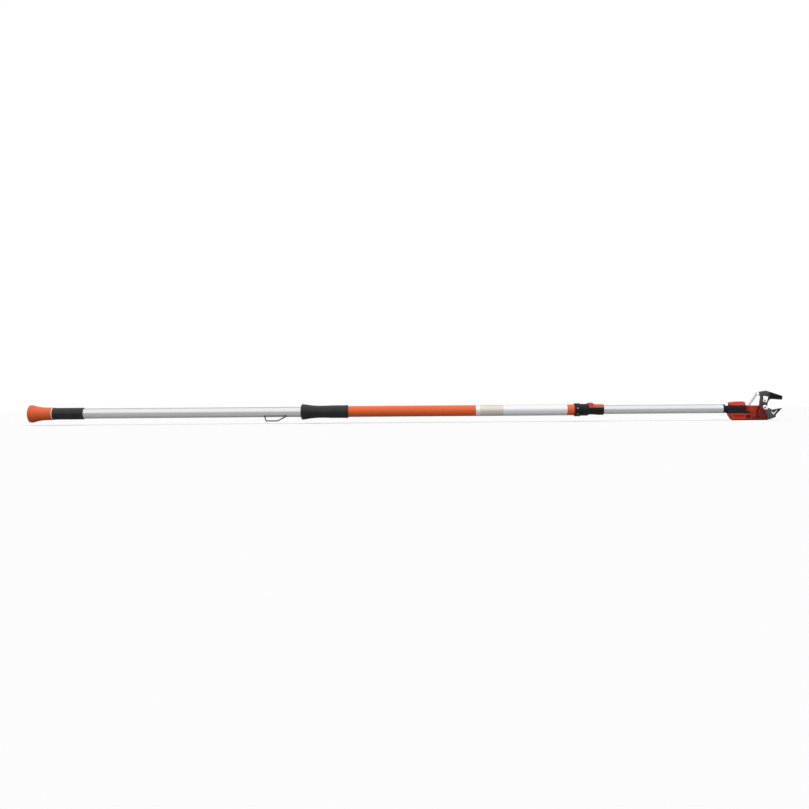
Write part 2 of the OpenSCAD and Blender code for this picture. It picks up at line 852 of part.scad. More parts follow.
module lower_jaw() {
    color([0.24, 0.24, 0.25]) at_head() difference() {
        slab(jaw_y, jaw_y + jaw_t) difference() {
            union() {
                polygon(jaw_outline);
                translate(pivot) circle(r = jaw_hub_r);
            }
            translate(pivot) circle(d = pivot_d + 2 * seat);
            for (p = jaw_bolt_at) translate(p) circle(d = jaw_bolt_d + 2 * seat);
            polygon(window);
        }
    }
}

module pivot_bolt() {
    head_y = blade_y - free;
    color(silver) at_head() difference() {
        union() {
            y_bar(pivot, head_y, jaw_y + jaw_t + nut_t, pivot_d);
            y_bar(pivot, head_y - pivot_head, head_y, pivot_head_d);
        }
        translate([pivot[0], head_y - pivot_head + pivot_key_depth, pivot[1]]) rotate([90, 0, 0])
            cylinder(h = pivot_head, d = pivot_key, $fn = 6);
    }
}

module pivot_nut() {
    y0 = jaw_y + jaw_t + seat;
    color(silver) at_head() difference() {
        translate([pivot[0], y0 + nut_t, pivot[1]]) rotate([90, 0, 0])
            cylinder(h = nut_t, d = nut_d, $fn = 6);
        y_bar(pivot, 0, casing_w, pivot_d + 2 * seat);
    }
}

module blade() {
    color(black) at_head() difference() {
        union() {
            slab(blade_y, 0) polygon(blade_outline);
            y_bar(pivot, blade_y, 0, 2 * blade_hub_r);
            y_bar(link_top, blade_y, 0, 2 * eye_r);
        }
        y_bar(pivot, -casing_w, casing_w, pivot_d + 2 * run);
        y_bar(link_top, -casing_w, casing_w, link_pin_d + 2 * seat);
        for (p = rivet_at) y_bar(p, blade_y - over, blade_y / 2, rivet_d + 2 * seat);
    }
}

module blade_plate() {
    color(silver) at_head() difference() {
        slab(blade_y - plate_t, blade_y - seat) polygon(plate_outline);
        for (p = rivet_at) y_bar(p, -casing_w, 0, rivet_d + 2 * seat);
    }
}

module plate_rivets() {
    color(steel) at_head() for (p = rivet_at) union() {
        y_bar(p, blade_y - plate_t - seat, blade_y / 2 - seat, rivet_d);
        y_bar(p, blade_y - plate_t - 1, blade_y - plate_t - seat, rivet_head_d);
    }
}

module link() {
    span = link_top - link_low;
    color(steel) at_head() slab(link_y - link_t, link_y) difference() {
        union() {
            for (p = [link_low, link_top]) translate(p) circle(r = eye_r);
            translate(link_low) rotate(atan2(span[1], span[0]))
                translate([0, -link_w / 2]) square([norm(span), link_w]);
        }
        translate(link_top) circle(d = link_pin_d + 2 * run);
        translate(link_low) circle(d = link_pin_d + 2 * seat);
    }
}

module link_pin_upper() {
    head_y = link_y - link_t - face_gap;
    color(steel) at_head() union() {
        y_bar(link_top, head_y, -face_gap, link_pin_d);
        y_bar(link_top, head_y - pin_head, head_y, pin_head_d);
    }
}

module link_pin_lower() {
    head_y = link_y - link_t - seat;
    color(steel) at_head() union() {
        y_bar(link_low, head_y, carriage_half - free, link_pin_d);
        y_bar(link_low, head_y - pin_head, head_y, pin_head_d);
    }
}

end_cap();
cap_ring();
rear_grip();
lower_tube();
lower_glide();
hanger_wire();
drive_anchor();
anchor_pin();
cap_screw();
drive_tube();
mid_grip();
grip_wiper();
outer_tube();
label_wrap();
clamp_body();
clamp_bush();
collar_screws();
clamp_bolt();
clamp_nut();
clamp_lever();
upper_tube();
tail_glide();
stem_plug();
stem_pins();
stem_clip();
return_spring();
drive_rod();
rod_collar();
rod_tip();
rod_clip();
swivel_collar();
lock_bolt();
lock_nut();
lock_lever();
casing_front();
casing_back();
casing_screws();
carriage();
lower_jaw();
jaw_bolts();
pivot_bolt();
pivot_nut();
blade();
blade_plate();
plate_rivets();
link();
link_pin_upper();
link_pin_lower();
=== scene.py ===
# %% [markdown]
# # A pole tree pruner
# The real tool is a telescoping pole with a bypass cutter on its far end. Sliding the lower tube
# into the orange outer tube pushes a rod that closes the blade. The CAD model already has every
# working piece in its place, so this lesson loads it as a fixed frame and dresses it: finishes for
# every piece, and softer, finer shapes for the pieces that a plain solid shows too bluntly.

# %% Load the frame
import json
import math

import bmesh
import bpy
from mathutils import Matrix, Vector


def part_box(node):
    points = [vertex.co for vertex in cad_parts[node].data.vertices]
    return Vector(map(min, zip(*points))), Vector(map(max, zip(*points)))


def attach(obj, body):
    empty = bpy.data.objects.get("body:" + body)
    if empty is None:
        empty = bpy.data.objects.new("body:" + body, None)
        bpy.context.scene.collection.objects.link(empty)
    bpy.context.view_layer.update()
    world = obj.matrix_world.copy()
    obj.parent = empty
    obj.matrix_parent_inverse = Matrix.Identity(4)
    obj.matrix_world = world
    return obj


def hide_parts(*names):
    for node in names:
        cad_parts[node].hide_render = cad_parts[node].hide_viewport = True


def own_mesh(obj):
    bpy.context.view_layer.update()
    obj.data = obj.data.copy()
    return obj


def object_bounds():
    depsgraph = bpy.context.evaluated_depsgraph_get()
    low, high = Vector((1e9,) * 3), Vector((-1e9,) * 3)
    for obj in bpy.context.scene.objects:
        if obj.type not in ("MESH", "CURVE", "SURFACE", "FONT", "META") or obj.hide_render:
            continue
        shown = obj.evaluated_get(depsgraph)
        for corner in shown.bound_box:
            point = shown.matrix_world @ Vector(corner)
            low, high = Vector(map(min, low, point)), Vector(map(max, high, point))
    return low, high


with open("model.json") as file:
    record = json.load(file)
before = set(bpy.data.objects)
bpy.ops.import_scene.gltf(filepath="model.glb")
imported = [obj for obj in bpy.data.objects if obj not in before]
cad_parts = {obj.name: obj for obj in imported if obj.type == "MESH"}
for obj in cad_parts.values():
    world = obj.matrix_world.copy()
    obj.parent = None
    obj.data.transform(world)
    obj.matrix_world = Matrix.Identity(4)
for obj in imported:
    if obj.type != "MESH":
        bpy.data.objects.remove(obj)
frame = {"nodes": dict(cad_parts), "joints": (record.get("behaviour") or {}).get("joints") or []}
cad_low, cad_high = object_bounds()
nodes = frame["nodes"]
scene = bpy.context.scene
MM = 0.001
print("nodes:", len(nodes), "size in mm:", [round(side / MM, 1) for side in cad_high - cad_low])


# %% [markdown]
# ## Camera
# The pole lies level across a square picture. A picture pixel covers 3 mm of the pole, so the frame's
# width in metres and the distance give the lens. The pole rises slightly to the right, which is the
# camera's own roll.

# %% Place the camera
PICTURE_SIDE = 809
MM_PER_PIXEL = 3.0
VIEW_DISTANCE = 2.85
VIEW_ROLL = 0.44
VIEW_CENTRE = (1.1247, 0.0198)
frame_width = PICTURE_SIDE * MM_PER_PIXEL * MM


def added(name, data):
    """A new object in the scene."""
    made = bpy.data.objects.new(name, data)
    scene.collection.objects.link(made)
    return made


camera = added("camera", bpy.data.cameras.new("camera"))
camera.data.lens = camera.data.sensor_width * VIEW_DISTANCE / frame_width
camera.location = (VIEW_CENTRE[0], -VIEW_DISTANCE, VIEW_CENTRE[1])
camera.rotation_euler = (math.pi / 2, math.radians(VIEW_ROLL), 0)
scene.camera = camera
print("lens in mm:", round(camera.data.lens, 2))


# %% [markdown]
# ## Shader sums
# A finish is a small web of nodes. Adding a Math node by hand for each plus and times hides the
# idea, so one class wraps a socket and lets Python's own operators add the nodes. A second class
# holds one material and adds any other kind of node.

# %% A socket that works in sums
class Level:
    """One value socket of a node, used like a number."""

    def __init__(self, tree, socket):
        self.tree = tree
        self.socket = socket

    def _sum(self, operation, first, second):
        node = self.tree.nodes.new("ShaderNodeMath")
        node.operation = operation
        for entry, term in zip(node.inputs, (first, second)):
            if isinstance(term, Level):
                self.tree.links.new(term.socket, entry)
            else:
                entry.default_value = term
        return Level(self.tree, node.outputs[0])

    def __add__(self, other):
        return self._sum("ADD", self, other)

    def __radd__(self, other):
        return self._sum("ADD", other, self)

    def __sub__(self, other):
        return self._sum("SUBTRACT", self, other)

    def __rsub__(self, other):
        return self._sum("SUBTRACT", other, self)

    def __mul__(self, other):
        return self._sum("MULTIPLY", self, other)

    def __rmul__(self, other):
        return self._sum("MULTIPLY", other, self)

    def __gt__(self, other):
        return self._sum("GREATER_THAN", self, other)

    def __lt__(self, other):
        return self._sum("LESS_THAN", self, other)


print("socket sums: + - * > <")


# %% A finish and its nodes
WORN = "worn"
# Vertices carry a share of painted shade under this attribute; the finish darkens their faces by it.
PAINTED_SHADE_MARK = "sunk"


class Finish:
    """A material whose nodes are added one call at a time."""

    def __init__(self, name):
        self.material = bpy.data.materials.new(name)
        self.material.use_nodes = True
        self.tree = self.material.node_tree
        self.tree.nodes.clear()

    def node(self, kind, settings=None, sockets=None, output=0):
        made = self.tree.nodes.new("ShaderNode" + kind)
        for name, value in (settings or {}).items():
            setattr(made, name, value)
        for name, value in (sockets or {}).items():
            if isinstance(value, Level):
                self.tree.links.new(value.socket, made.inputs[name])
            else:
                made.inputs[name].default_value = value
        return Level(self.tree, made.outputs[output]) if made.outputs else None

    def place(self, stretch=(1, 1, 1)):
        """Object coordinates in metres, stretched along each axis."""
        here = self.node("TexCoord", output="Object")
        return self.node("Mapping", sockets={"Vector": here, "Scale": stretch})

    def along(self):
        """The distance along the pole in metres."""
        return self.node("SeparateXYZ", sockets={"Vector": self.place()}, output="X")

    def past(self, stations):
        """0 before the first of two stations along the pole in millimetres, 1 past the second."""
        return self.ramp(self.along(), stations[0] * MM, stations[1] * MM)

    def grain(self, scale, stretch=(1, 1, 1), detail=2.0):
        """Soft noise with this many waves to the metre."""
        return self.node("TexNoise", sockets={
            "Vector": self.place(stretch), "Scale": scale, "Detail": detail})

    def ramp(self, level, low, high):
        """A level stretched so that low becomes 0 and high becomes 1."""
        return self.node("MapRange", sockets={
            "Value": level, "From Min": low, "From Max": high})

    def tint(self, share, first, second):
        return self.node("Mix", {"data_type": "RGBA"}, {0: share, 6: first, 7: second}, output=2)

    def mark(self, name):
        """A value that a piece's own vertices carry; pieces without it give 0."""
        return self.node("Attribute", {"attribute_name": name}, output="Fac")

    def wear(self, most):
        """Up to this much where an eased edge has been rubbed, broken up by noise."""
        patches = self.ramp(self.grain(160.0, detail=4.0), 0.3, 0.62)
        return most * self.mark(WORN) * patches

    def relief(self, height, depth):
        return self.node("Bump", sockets={"Strength": 1.0, "Distance": depth, "Height": height})

    def surface(self, **sockets):
        named = {name.replace("_", " "): value for name, value in sockets.items()}
        shader = self.node("BsdfPrincipled", sockets=named)
        self.node("OutputMaterial", sockets={"Surface": shader})
        print("finish:", self.material.name)
        return self.material


def rgb(red, green, blue):
    return (red, green, blue, 1.0)


def grey(level):
    return rgb(level, level, level)


# %% [markdown]
# ## Floor and light
# A plain studio: a white floor, one very broad soft light above the tool and slightly in front, and
# a dim sky that fills the shadows. The floor and sky look white to the eye and in reflections, but
# hand less light back to the tool's underside, so the pole keeps its round shading.

# %% Sky
SKY_FILL = 0.27

sky = bpy.data.worlds.new("studio_sky")
sky.use_nodes = True
scene.world = sky
scene.view_settings.view_transform = "Standard"
sky_tree = sky.node_tree


def seen_directly(tree):
    """1 for rays that show the backdrop to the eye, in a mirror or through glass."""
    light_path = tree.nodes.new("ShaderNodeLightPath")
    camera_ray, glossy_ray, clear_ray = (
        Level(tree, light_path.outputs[name])
        for name in ("Is Camera Ray", "Is Glossy Ray", "Is Transmission Ray"))
    return (camera_ray + glossy_ray + clear_ray) > 0.5


strength = SKY_FILL + (1 - SKY_FILL) * seen_directly(sky_tree)
sky_light = sky_tree.nodes["Background"]
sky_light.inputs["Color"].default_value = grey(1)
sky_tree.links.new(strength.socket, sky_light.inputs["Strength"])
print("sky fill:", SKY_FILL)

# %% Floor
FLOOR_SIDE = 14.0
FLOOR_SEEN = 1.0
FLOOR_BOUNCE = 0.24


def shaped(name, mesh, finish):
    """A new object that takes over a mesh and a finish."""
    data = bpy.data.meshes.new(name)
    mesh.to_mesh(data)
    mesh.free()
    data.materials.append(finish)
    return added(name, data)


floor_paint = Finish("studio_floor")
floor_share = seen_directly(floor_paint.tree)
floor_colour = floor_paint.tint(floor_share, grey(FLOOR_BOUNCE), grey(FLOOR_SEEN))
floor_matt = floor_paint.node("BsdfDiffuse", sockets={"Color": floor_colour})
floor_paint.node("OutputMaterial", sockets={"Surface": floor_matt})

floor_mesh = bmesh.new()
bmesh.ops.create_grid(floor_mesh, x_segments=1, y_segments=1, size=FLOOR_SIDE / 2)
bmesh.ops.translate(floor_mesh, verts=floor_mesh.verts, vec=(VIEW_CENTRE[0], 0, cad_low.z))
floor = shaped("floor", floor_mesh, floor_paint.material)
print("floor height in mm:", round(cad_low.z / MM, 1))

# %% Soft light
SOFT_STRENGTH = 2.5
SOFT_SPREAD = 104
SOFT_LEAN = 28

soft = added("soft_light", bpy.data.lights.new("soft_light", "SUN"))
soft.data.energy = SOFT_STRENGTH
soft.data.angle = math.radians(SOFT_SPREAD)
soft.rotation_euler = (math.radians(SOFT_LEAN), 0, 0)
soft.location = (VIEW_CENTRE[0], -1, 2)
print("soft light leans", SOFT_LEAN, "degrees to the front")


# %% [markdown]
# ## Drawn aluminium
# The lower and upper tubes are drawn and clear anodised: satin, with faint streaks along the tube
# from the die and a little cloudiness in the gloss. Noise stretched along X gives the streaks, and a
# slow noise gives the cloudiness.

# %% Drawn aluminium
drawn = Finish("drawn_aluminium")
streak = drawn.grain(1.0, (5, 800, 800), 3.0)
cloud = drawn.grain(14.0)
drawn_aluminium = drawn.surface(
    Base_Color=drawn.tint(streak, rgb(0.35, 0.355, 0.365), rgb(0.42, 0.425, 0.435)),
    Metallic=1.0,
    Roughness=0.24 + 0.14 * streak + 0.1 * cloud,
    Normal=drawn.relief(streak, 0.02 * MM))


# %% [markdown]
# ## Orange coat
# The outer tube is powder coated. Such a coat has a faint orange-peel surface, millimetres across,
# and a thin clear gloss. Small paler scuffs come from handling.

# %% Orange coat
coat = Finish("orange_coat")
peel = coat.grain(700.0, detail=1.0)
scuff = coat.ramp(coat.grain(60.0, (0.25, 1, 1), 5.0), 0.62, 0.75)
patch = coat.grain(9.0)
coat_colour = coat.tint(patch, rgb(0.80, 0.125, 0.030), rgb(0.87, 0.15, 0.038))
orange_coat = coat.surface(
    Base_Color=coat.tint(0.12 * scuff, coat_colour, rgb(0.95, 0.42, 0.27)),
    Roughness=0.36 + 0.08 * peel + 0.1 * scuff,
    Specular_IOR_Level=0.25,
    Normal=coat.relief(peel, 0.03 * MM))


# %% [markdown]
# ## Orange mouldings
# The end cap, the two levers and the head casing are moulded. The head's plastic is deeper and redder
# than the cap's. Both have a spark-eroded grain, which is fine and even, and slight flow clouds in
# the colour. Painted shade darkens the hollows, and more painted shade darkens the casing towards
# the jaws. One function makes all of them, because only the colours and gloss differ.

# %% Orange mouldings
GRAIN_DEPTH = 0.06 * MM
# Painted shade: the darkest shade is this share of a moulding's deep colour.
HOLLOW_SHADE_SHARE = 0.12
# Painted shade towards the jaws: how much darker the casing grows past the jaw stations.
JAW_SHADE_SHARE = 0.38


def span(node):
    """Lowest and highest corner of a CAD node in millimetres."""
    low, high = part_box(node)
    return low / MM, high / MM


HEAD = span("upper_tube")[1].x
# Painted shade starts at the first station and is full at the second.
JAW_SHADE_FROM = (HEAD + 60, HEAD + 72)


def moulded(name, deep, bright, rubbed, gloss, shine, jaw_shade_from=None):
    """A moulded plastic: flow clouds, fine grain, paler rubbed edges, painted shade where marked; more
    painted shade may come along X.
    """
    finish = Finish(name)
    pits = finish.grain(1300.0, detail=3.0)
    flow = finish.grain(28.0, (0.6, 1, 1), 3.0)
    colour = finish.tint(flow, deep, bright)
    # Painted shade: faces between vertices marked with it are darkened towards this colour.
    shaded = rgb(*(HOLLOW_SHADE_SHARE * part for part in deep[:3]))
    painted_shade = finish.mark(PAINTED_SHADE_MARK)
    # Painted shade: the casing grows darker along X past the jaw stations.
    if jaw_shade_from:
        painted_shade = painted_shade + JAW_SHADE_SHARE * finish.past(jaw_shade_from)
    colour = finish.tint(painted_shade, colour, shaded)
    return finish.surface(
        Base_Color=finish.tint(finish.wear(0.6), colour, rubbed),
        Roughness=gloss - 0.08 + 0.16 * pits,
        Specular_IOR_Level=shine,
        Normal=finish.relief(pits, GRAIN_DEPTH))


cap_orange = moulded(
    "cap_orange", rgb(0.74, 0.115, 0.03), rgb(0.82, 0.14, 0.04), rgb(0.9, 0.3, 0.16),
    gloss=0.44, shine=0.22)
head_orange = moulded(
    "head_orange", rgb(0.66, 0.032, 0.007), rgb(0.78, 0.05, 0.012), rgb(0.92, 0.2, 0.12),
    gloss=0.36, shine=0.22, jaw_shade_from=JAW_SHADE_FROM)
lever_red = moulded(
    "lever_red", rgb(0.78, 0.062, 0.048), rgb(0.88, 0.085, 0.068), rgb(0.94, 0.3, 0.25),
    gloss=0.36, shine=0.3)
lever_orange = moulded(
    "lever_orange", rgb(0.50, 0.085, 0.032), rgb(0.58, 0.11, 0.042), rgb(0.85, 0.35, 0.2),
    gloss=0.4, shine=0.25)


# %% [markdown]
# ## Grip rubber and black mouldings
# The grips are soft black rubber with a fine pebble grain and a dull sheen. The clamp, the stem and
# the swivel collar are a harder black plastic.

# %% Blacks
rubber = Finish("grip_rubber")
pebble = rubber.node("TexVoronoi", {"feature": "F1"}, {
    "Vector": rubber.place(), "Scale": 620.0, "Randomness": 0.9}, output="Distance")
dust = rubber.ramp(rubber.grain(35.0, detail=5.0), 0.45, 0.8)
grip_rubber = rubber.surface(
    Base_Color=rubber.tint(dust, rgb(0.010, 0.010, 0.011), rgb(0.018, 0.018, 0.019)),
    Roughness=0.22 + 0.1 * pebble + 0.08 * dust,
    Specular_IOR_Level=0.2,
    Normal=rubber.relief(1 - pebble, 0.05 * MM))

black_moulding = moulded(
    "black_moulding", rgb(0.004, 0.004, 0.005), rgb(0.009, 0.009, 0.010), grey(0.06),
    gloss=0.44, shine=0.13)
pale_moulding = moulded(
    "pale_moulding", rgb(0.66, 0.63, 0.57), rgb(0.74, 0.72, 0.66), rgb(0.8, 0.79, 0.75),
    gloss=0.45, shine=0.4)


# %% [markdown]
# ## Label film
# A thin film is wrapped round the outer tube's upper part. It is plain: one beige panel in a long
# silvery field. The panel is a step along the pole, read from the X of the Object coordinates. A
# faint ripple shows where the film follows the tube.

# %% Label film
label_low, label_high = span("label_wrap")
PANEL_START = label_low.x + 13
PANEL_END = label_low.x + 82

film = Finish("label_film")
along = film.along()
panel = (along > PANEL_START * MM) * (along < PANEL_END * MM)
fibre = film.grain(240.0, (0.2, 1, 1), 4.0)
ripple = film.grain(40.0, (1, 0.4, 0.4))
field = film.tint(fibre, rgb(0.63, 0.64, 0.66), rgb(0.70, 0.71, 0.73))
beige = film.tint(fibre, rgb(0.54, 0.49, 0.43), rgb(0.61, 0.56, 0.50))
label_film = film.surface(
    Base_Color=film.tint(panel, field, beige),
    Metallic=0.32,
    Roughness=0.32 + 0.12 * fibre,
    Normal=film.relief(ripple, 0.06 * MM))
print("label from", round(label_low.x), "to", round(label_high.x), "mm")


# %% [markdown]
# ## Steels, wire and brass
# Screws, bolts and pins are zinc-plated: bright, slightly blotched. The collar's screws and the link
# are duller, and the plate and the pivot's head are polished. The jaws are dark coated steel, worn
# paler at the edges and blackened by sap further out. The hanger is dark coated wire. The rod's tip
# is turned brass with fine rings across the bar.

# %% Steels, wire and brass
RUBBED_STEEL = grey(0.5)
BLACKED = rgb(0.003, 0.003, 0.004)


def metal(name, dull, bright, gloss, stretch, share=1.0, black_from=None):
    """A metal with tool marks along one direction; it may turn black along X."""
    finish = Finish(name)
    marks = finish.grain(1.0, stretch, 3.0)
    blotch = finish.grain(90.0, detail=4.0)
    colour = finish.tint(blotch, dull, bright)
    if black_from:
        colour = finish.tint(finish.past(black_from), colour, BLACKED)
    return finish.surface(
        Base_Color=finish.tint(finish.wear(0.75), colour, RUBBED_STEEL),
        Metallic=share,
        Roughness=gloss + 0.12 * marks + 0.08 * blotch,
        Specular_IOR_Level=0.2,
        Normal=finish.relief(marks, 0.02 * MM))


EVEN = (900, 900, 900)
BLADE_BLACK = (HEAD + 134, HEAD + 143)
JAW_BLACK = (HEAD + 152, HEAD + 172)
zinc_steel = metal("zinc_steel", rgb(0.56, 0.56, 0.57), rgb(0.70, 0.70, 0.69), 0.2, EVEN)
screw_steel = metal("screw_steel", rgb(0.13, 0.13, 0.135), rgb(0.20, 0.20, 0.205), 0.3, EVEN)
link_steel = metal("link_steel", rgb(0.38, 0.38, 0.40), rgb(0.50, 0.50, 0.52), 0.26, EVEN)
bright_chrome = metal("bright_chrome", rgb(0.84, 0.84, 0.85), rgb(0.95, 0.95, 0.95), 0.08, EVEN)
jaw_steel = metal(
    "jaw_steel", rgb(0.045, 0.045, 0.048), rgb(0.085, 0.085, 0.09), 0.3, (1500, 700, 200),
    share=0.7, black_from=JAW_BLACK)
blade_steel = metal(
    "blade_steel", rgb(0.04, 0.04, 0.043), rgb(0.075, 0.075, 0.08), 0.34, (300, 700, 1500),
    share=0.5, black_from=BLADE_BLACK)
hanger_coat = metal(
    "hanger_coat", rgb(0.035, 0.035, 0.037), rgb(0.06, 0.06, 0.063), 0.36, EVEN, share=0.5)
turned_brass = metal("turned_brass", rgb(0.55, 0.38, 0.14), rgb(0.68, 0.50, 0.22), 0.22, (2500, 60, 60))


# %% [markdown]
# ## Dress the CAD pieces
# Every CAD node names a material slot in the record. The finishes above are handed out by slot, so
# no piece is left with a flat colour, not even those that only show when the tool is opened. The
# link's upper pin is polished.

# %% Dress the CAD pieces
FINISH_OF_SLOT = {
    "orange_plastic": head_orange,
    "orange_paint": orange_coat,
    "grip_rubber": grip_rubber,
    "black_plastic": black_moulding,
    "pale_plastic": pale_moulding,
    "label_film": label_film,
    "bare_aluminium": drawn_aluminium,
    "dark_wire": hanger_coat,
    "bright_steel": zinc_steel,
    "tip_brass": turned_brass,
    "dark_steel": jaw_steel,
}
for node in nodes.values():
    slot = node.material_slots[0]
    slot.material = FINISH_OF_SLOT[slot.material.name]
nodes["link_pin_upper"].material_slots[0].material = bright_chrome
print("dressed", len(nodes), "nodes from", len(FINISH_OF_SLOT), "slots")


# %% [markdown]
# ## Tools for new pieces
# Three small tools make nearly every new piece. One spins a profile about the pole's axis, one gives
# an outline in the X-Z plane a thickness, and one eases sharp edges with a bevel. All work in
# millimetres, and the last step scales a piece to metres and hands it to its CAD body.

# %% Spin a profile
ROUND_STEPS = 96
WELD = 0.002


def clean(mesh):
    """Welds seams and poles, then turns every face outwards."""
    bmesh.ops.remove_doubles(mesh, verts=mesh.verts, dist=WELD)
    bmesh.ops.dissolve_degenerate(mesh, edges=mesh.edges, dist=WELD)
    bmesh.ops.recalc_face_normals(mesh, faces=mesh.faces)
    return mesh


def only(kind, parts):
    """The parts of one kind in an operator's result."""
    return [part for part in parts if isinstance(part, kind)]


def turned(profile, closed=True, sweep=360, start=0, steps=ROUND_STEPS):
    """A profile of (x, radius) spun about the pole's axis; start is an angle from straight up."""
    mesh = bmesh.new()
    points = [mesh.verts.new((x, 0, radius)) for x, radius in profile]
    for here, there in zip(points, points[1:]):
        mesh.edges.new((here, there))
    if closed:
        mesh.edges.new((points[-1], points[0]))
    bmesh.ops.rotate(
        mesh, verts=mesh.verts, cent=(0, 0, 0), matrix=Matrix.Rotation(math.radians(start), 3, "X"))
    first_rim = mesh.edges[:]
    spun = bmesh.ops.spin(
        mesh, geom=mesh.verts[:] + mesh.edges[:], cent=(0, 0, 0), axis=(1, 0, 0),
        angle=math.radians(sweep), steps=steps, use_merge=sweep == 360)
    if sweep != 360:
        for rim in (first_rim, only(bmesh.types.BMEdge, spun["geom_last"])):
            bmesh.ops.contextual_create(mesh, geom=rim)
    return clean(mesh)


print("turned: a profile spun about the pole")


# %% Thicken an outline
CORNER_STEPS = 6
FLAT = math.radians(1)


def rounded(mesh, parts, width, steps, kind):
    """Rounds corners or edges of a mesh, and returns what is new."""
    return bmesh.ops.bevel(
        mesh, geom=parts, offset=width, offset_type="OFFSET", segments=steps, profile=0.5,
        affect=kind, material=-1, clamp_overlap=True)


def drawn_loop(mesh, outline, y):
    """One flat face from points (x, z, setback); a setback rounds that corner."""
    points = [mesh.verts.new((point[0], y, point[1])) for point in outline]
    mesh.faces.new(points)
    for vert, point in zip(points, outline):
        if len(point) > 2:
            rounded(mesh, [vert], point[2], CORNER_STEPS, "VERTICES")


def slab(outline, low_y, high_y, holes=()):
    """A plate between two Y faces, with round corners and holes."""
    mesh = bmesh.new()
    mesh.verts.layers.float.new(PAINTED_SHADE_MARK)
    for loop in (outline, *holes):
        drawn_loop(mesh, loop, low_y)
    if holes:
        bmesh.ops.delete(mesh, geom=mesh.faces[:], context="FACES_ONLY")
        bmesh.ops.triangle_fill(mesh, edges=mesh.edges[:], use_beauty=True)
        bmesh.ops.dissolve_limit(
            mesh, angle_limit=FLAT, verts=mesh.verts[:], edges=mesh.edges[:],
            use_dissolve_boundaries=False)
    risen = bmesh.ops.extrude_face_region(mesh, geom=mesh.faces[:], use_keep_orig=True)
    top = only(bmesh.types.BMVert, risen["geom"])
    bmesh.ops.translate(mesh, verts=top, vec=(0, high_y - low_y, 0))
    return clean(mesh)


def ease(mesh, width, steps=2, sharper_than=35):
    """Rounds every edge that is sharper than an angle, and marks the new edge as worn."""
    limit = math.radians(sharper_than)
    worn = mesh.verts.layers.float.get(WORN) or mesh.verts.layers.float.new(WORN)
    sharp = [edge for edge in mesh.edges if edge.is_manifold and edge.calc_face_angle() > limit]
    new = rounded(mesh, sharp, width, steps, "EDGES")
    new_faces = set(new["faces"])
    for vert in new["verts"]:
        vert[worn] = float(all(face in new_faces for face in vert.link_faces))
    return mesh


def about(x, radius, *steps):
    """Points given by their steps from a station along the pole and from a radius."""
    return [(x + along, radius + out) for along, out in steps]


def both_sides(make, inner, outer):
    """Two shells from a maker of (low_y, high_y), one on each side of the middle plane."""
    return [make(inner, outer), make(-outer, -inner)]


print("slab: an outline made thick; ease: rounded edges")


# %% Hand a piece to its body
SHARP_ANGLE = 32


def fit(name, shells, finish, body, slot, *stands_for, crease=SHARP_ANGLE):
    """Joins shells into one object in metres, which rides on a body and stands for CAD nodes."""
    whole = bmesh.new()
    for shell in shells:
        part = bpy.data.meshes.new("shell")
        shell.to_mesh(part)
        shell.free()
        whole.from_mesh(part)
        bpy.data.meshes.remove(part)
    bmesh.ops.scale(whole, vec=(MM, MM, MM), verts=whole.verts)
    piece = shaped(name, whole, finish)
    piece.data.shade_smooth()
    piece.data.set_sharp_from_angle(angle=math.radians(crease))
    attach(piece, body)
    if stands_for:
        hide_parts(*stands_for)
    print(name, "faces:", len(piece.data.polygons))
    return piece


print("fit: shells joined to one piece on a body")


# %% [markdown]
# ## Tubes and label
# The three tubes and the label film are plain drawn shapes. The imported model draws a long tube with
# few sides, so each one is spun again with many, and its ends get the small bevel that a cut tube
# gets before it is sold.

# %% Tubes and label
def tube(name, wall, finish, body, slot, edge=0.3):
    """A round tube in the place of a CAD tube, with eased ends."""
    low, high = span(name)
    radius = (high.z - low.z) / 2
    bore = radius - wall
    profile = [
        (low.x, bore), *about(low.x, radius, (0, -edge), (edge, 0)),
        *about(high.x, radius, (-edge, 0), (0, -edge)), (high.x, bore)]
    fit(name + "_drawn", [turned(profile)], finish, body, slot, name)


TUBE_WALL = 1.2
OUTER_WALL = 1.0
FILM_WALL = 0.15
tube("lower_tube", TUBE_WALL, drawn_aluminium, "handle", "bare_aluminium")
tube("upper_tube", TUBE_WALL, drawn_aluminium, "upper", "bare_aluminium")
tube("outer_tube", OUTER_WALL, orange_coat, "pole", "orange_paint")
tube("label_wrap", FILM_WALL, label_film, "pole", "label_film", edge=0.05)


# %% [markdown]
# ## End cap
# The orange cap closes the butt and flares like a pommel so a hand can't slip off. It is a turned
# form: one profile, spun. A shallow groove behind the rounded rim is the moulding's parting line,
# which reads as a thin dark ring.

# %% End cap
cap_end, _, CAP_END_RADIUS = span("end_cap")[1]
CAP_NECK_RADIUS = 19.0
CAP_FLOOR = 14.0
CAP_ROUND = 5.0
CAP_FLARE = (11.5, 58.0)
CAP_POWER = 2.2
CAP_GROOVE = (8.6, 10.4)
CAP_GROOVE_DEPTH = 0.9
CAP_GROOVE_SLOPE = 0.4
CAP_EDGE = 0.8
RIM_STEPS = 8
CURVE_STEPS = 24
TUBE_RADIUS = span("lower_tube")[1].z
SEAT = 0.03


def curve(start, end, height):
    """Points between two stations (x, radius); height turns the share of the way into a rise."""
    shares = [step / CURVE_STEPS for step in range(CURVE_STEPS + 1)]
    return [
        (start[0] + (end[0] - start[0]) * share, start[1] + (end[1] - start[1]) * height(share))
        for share in shares]


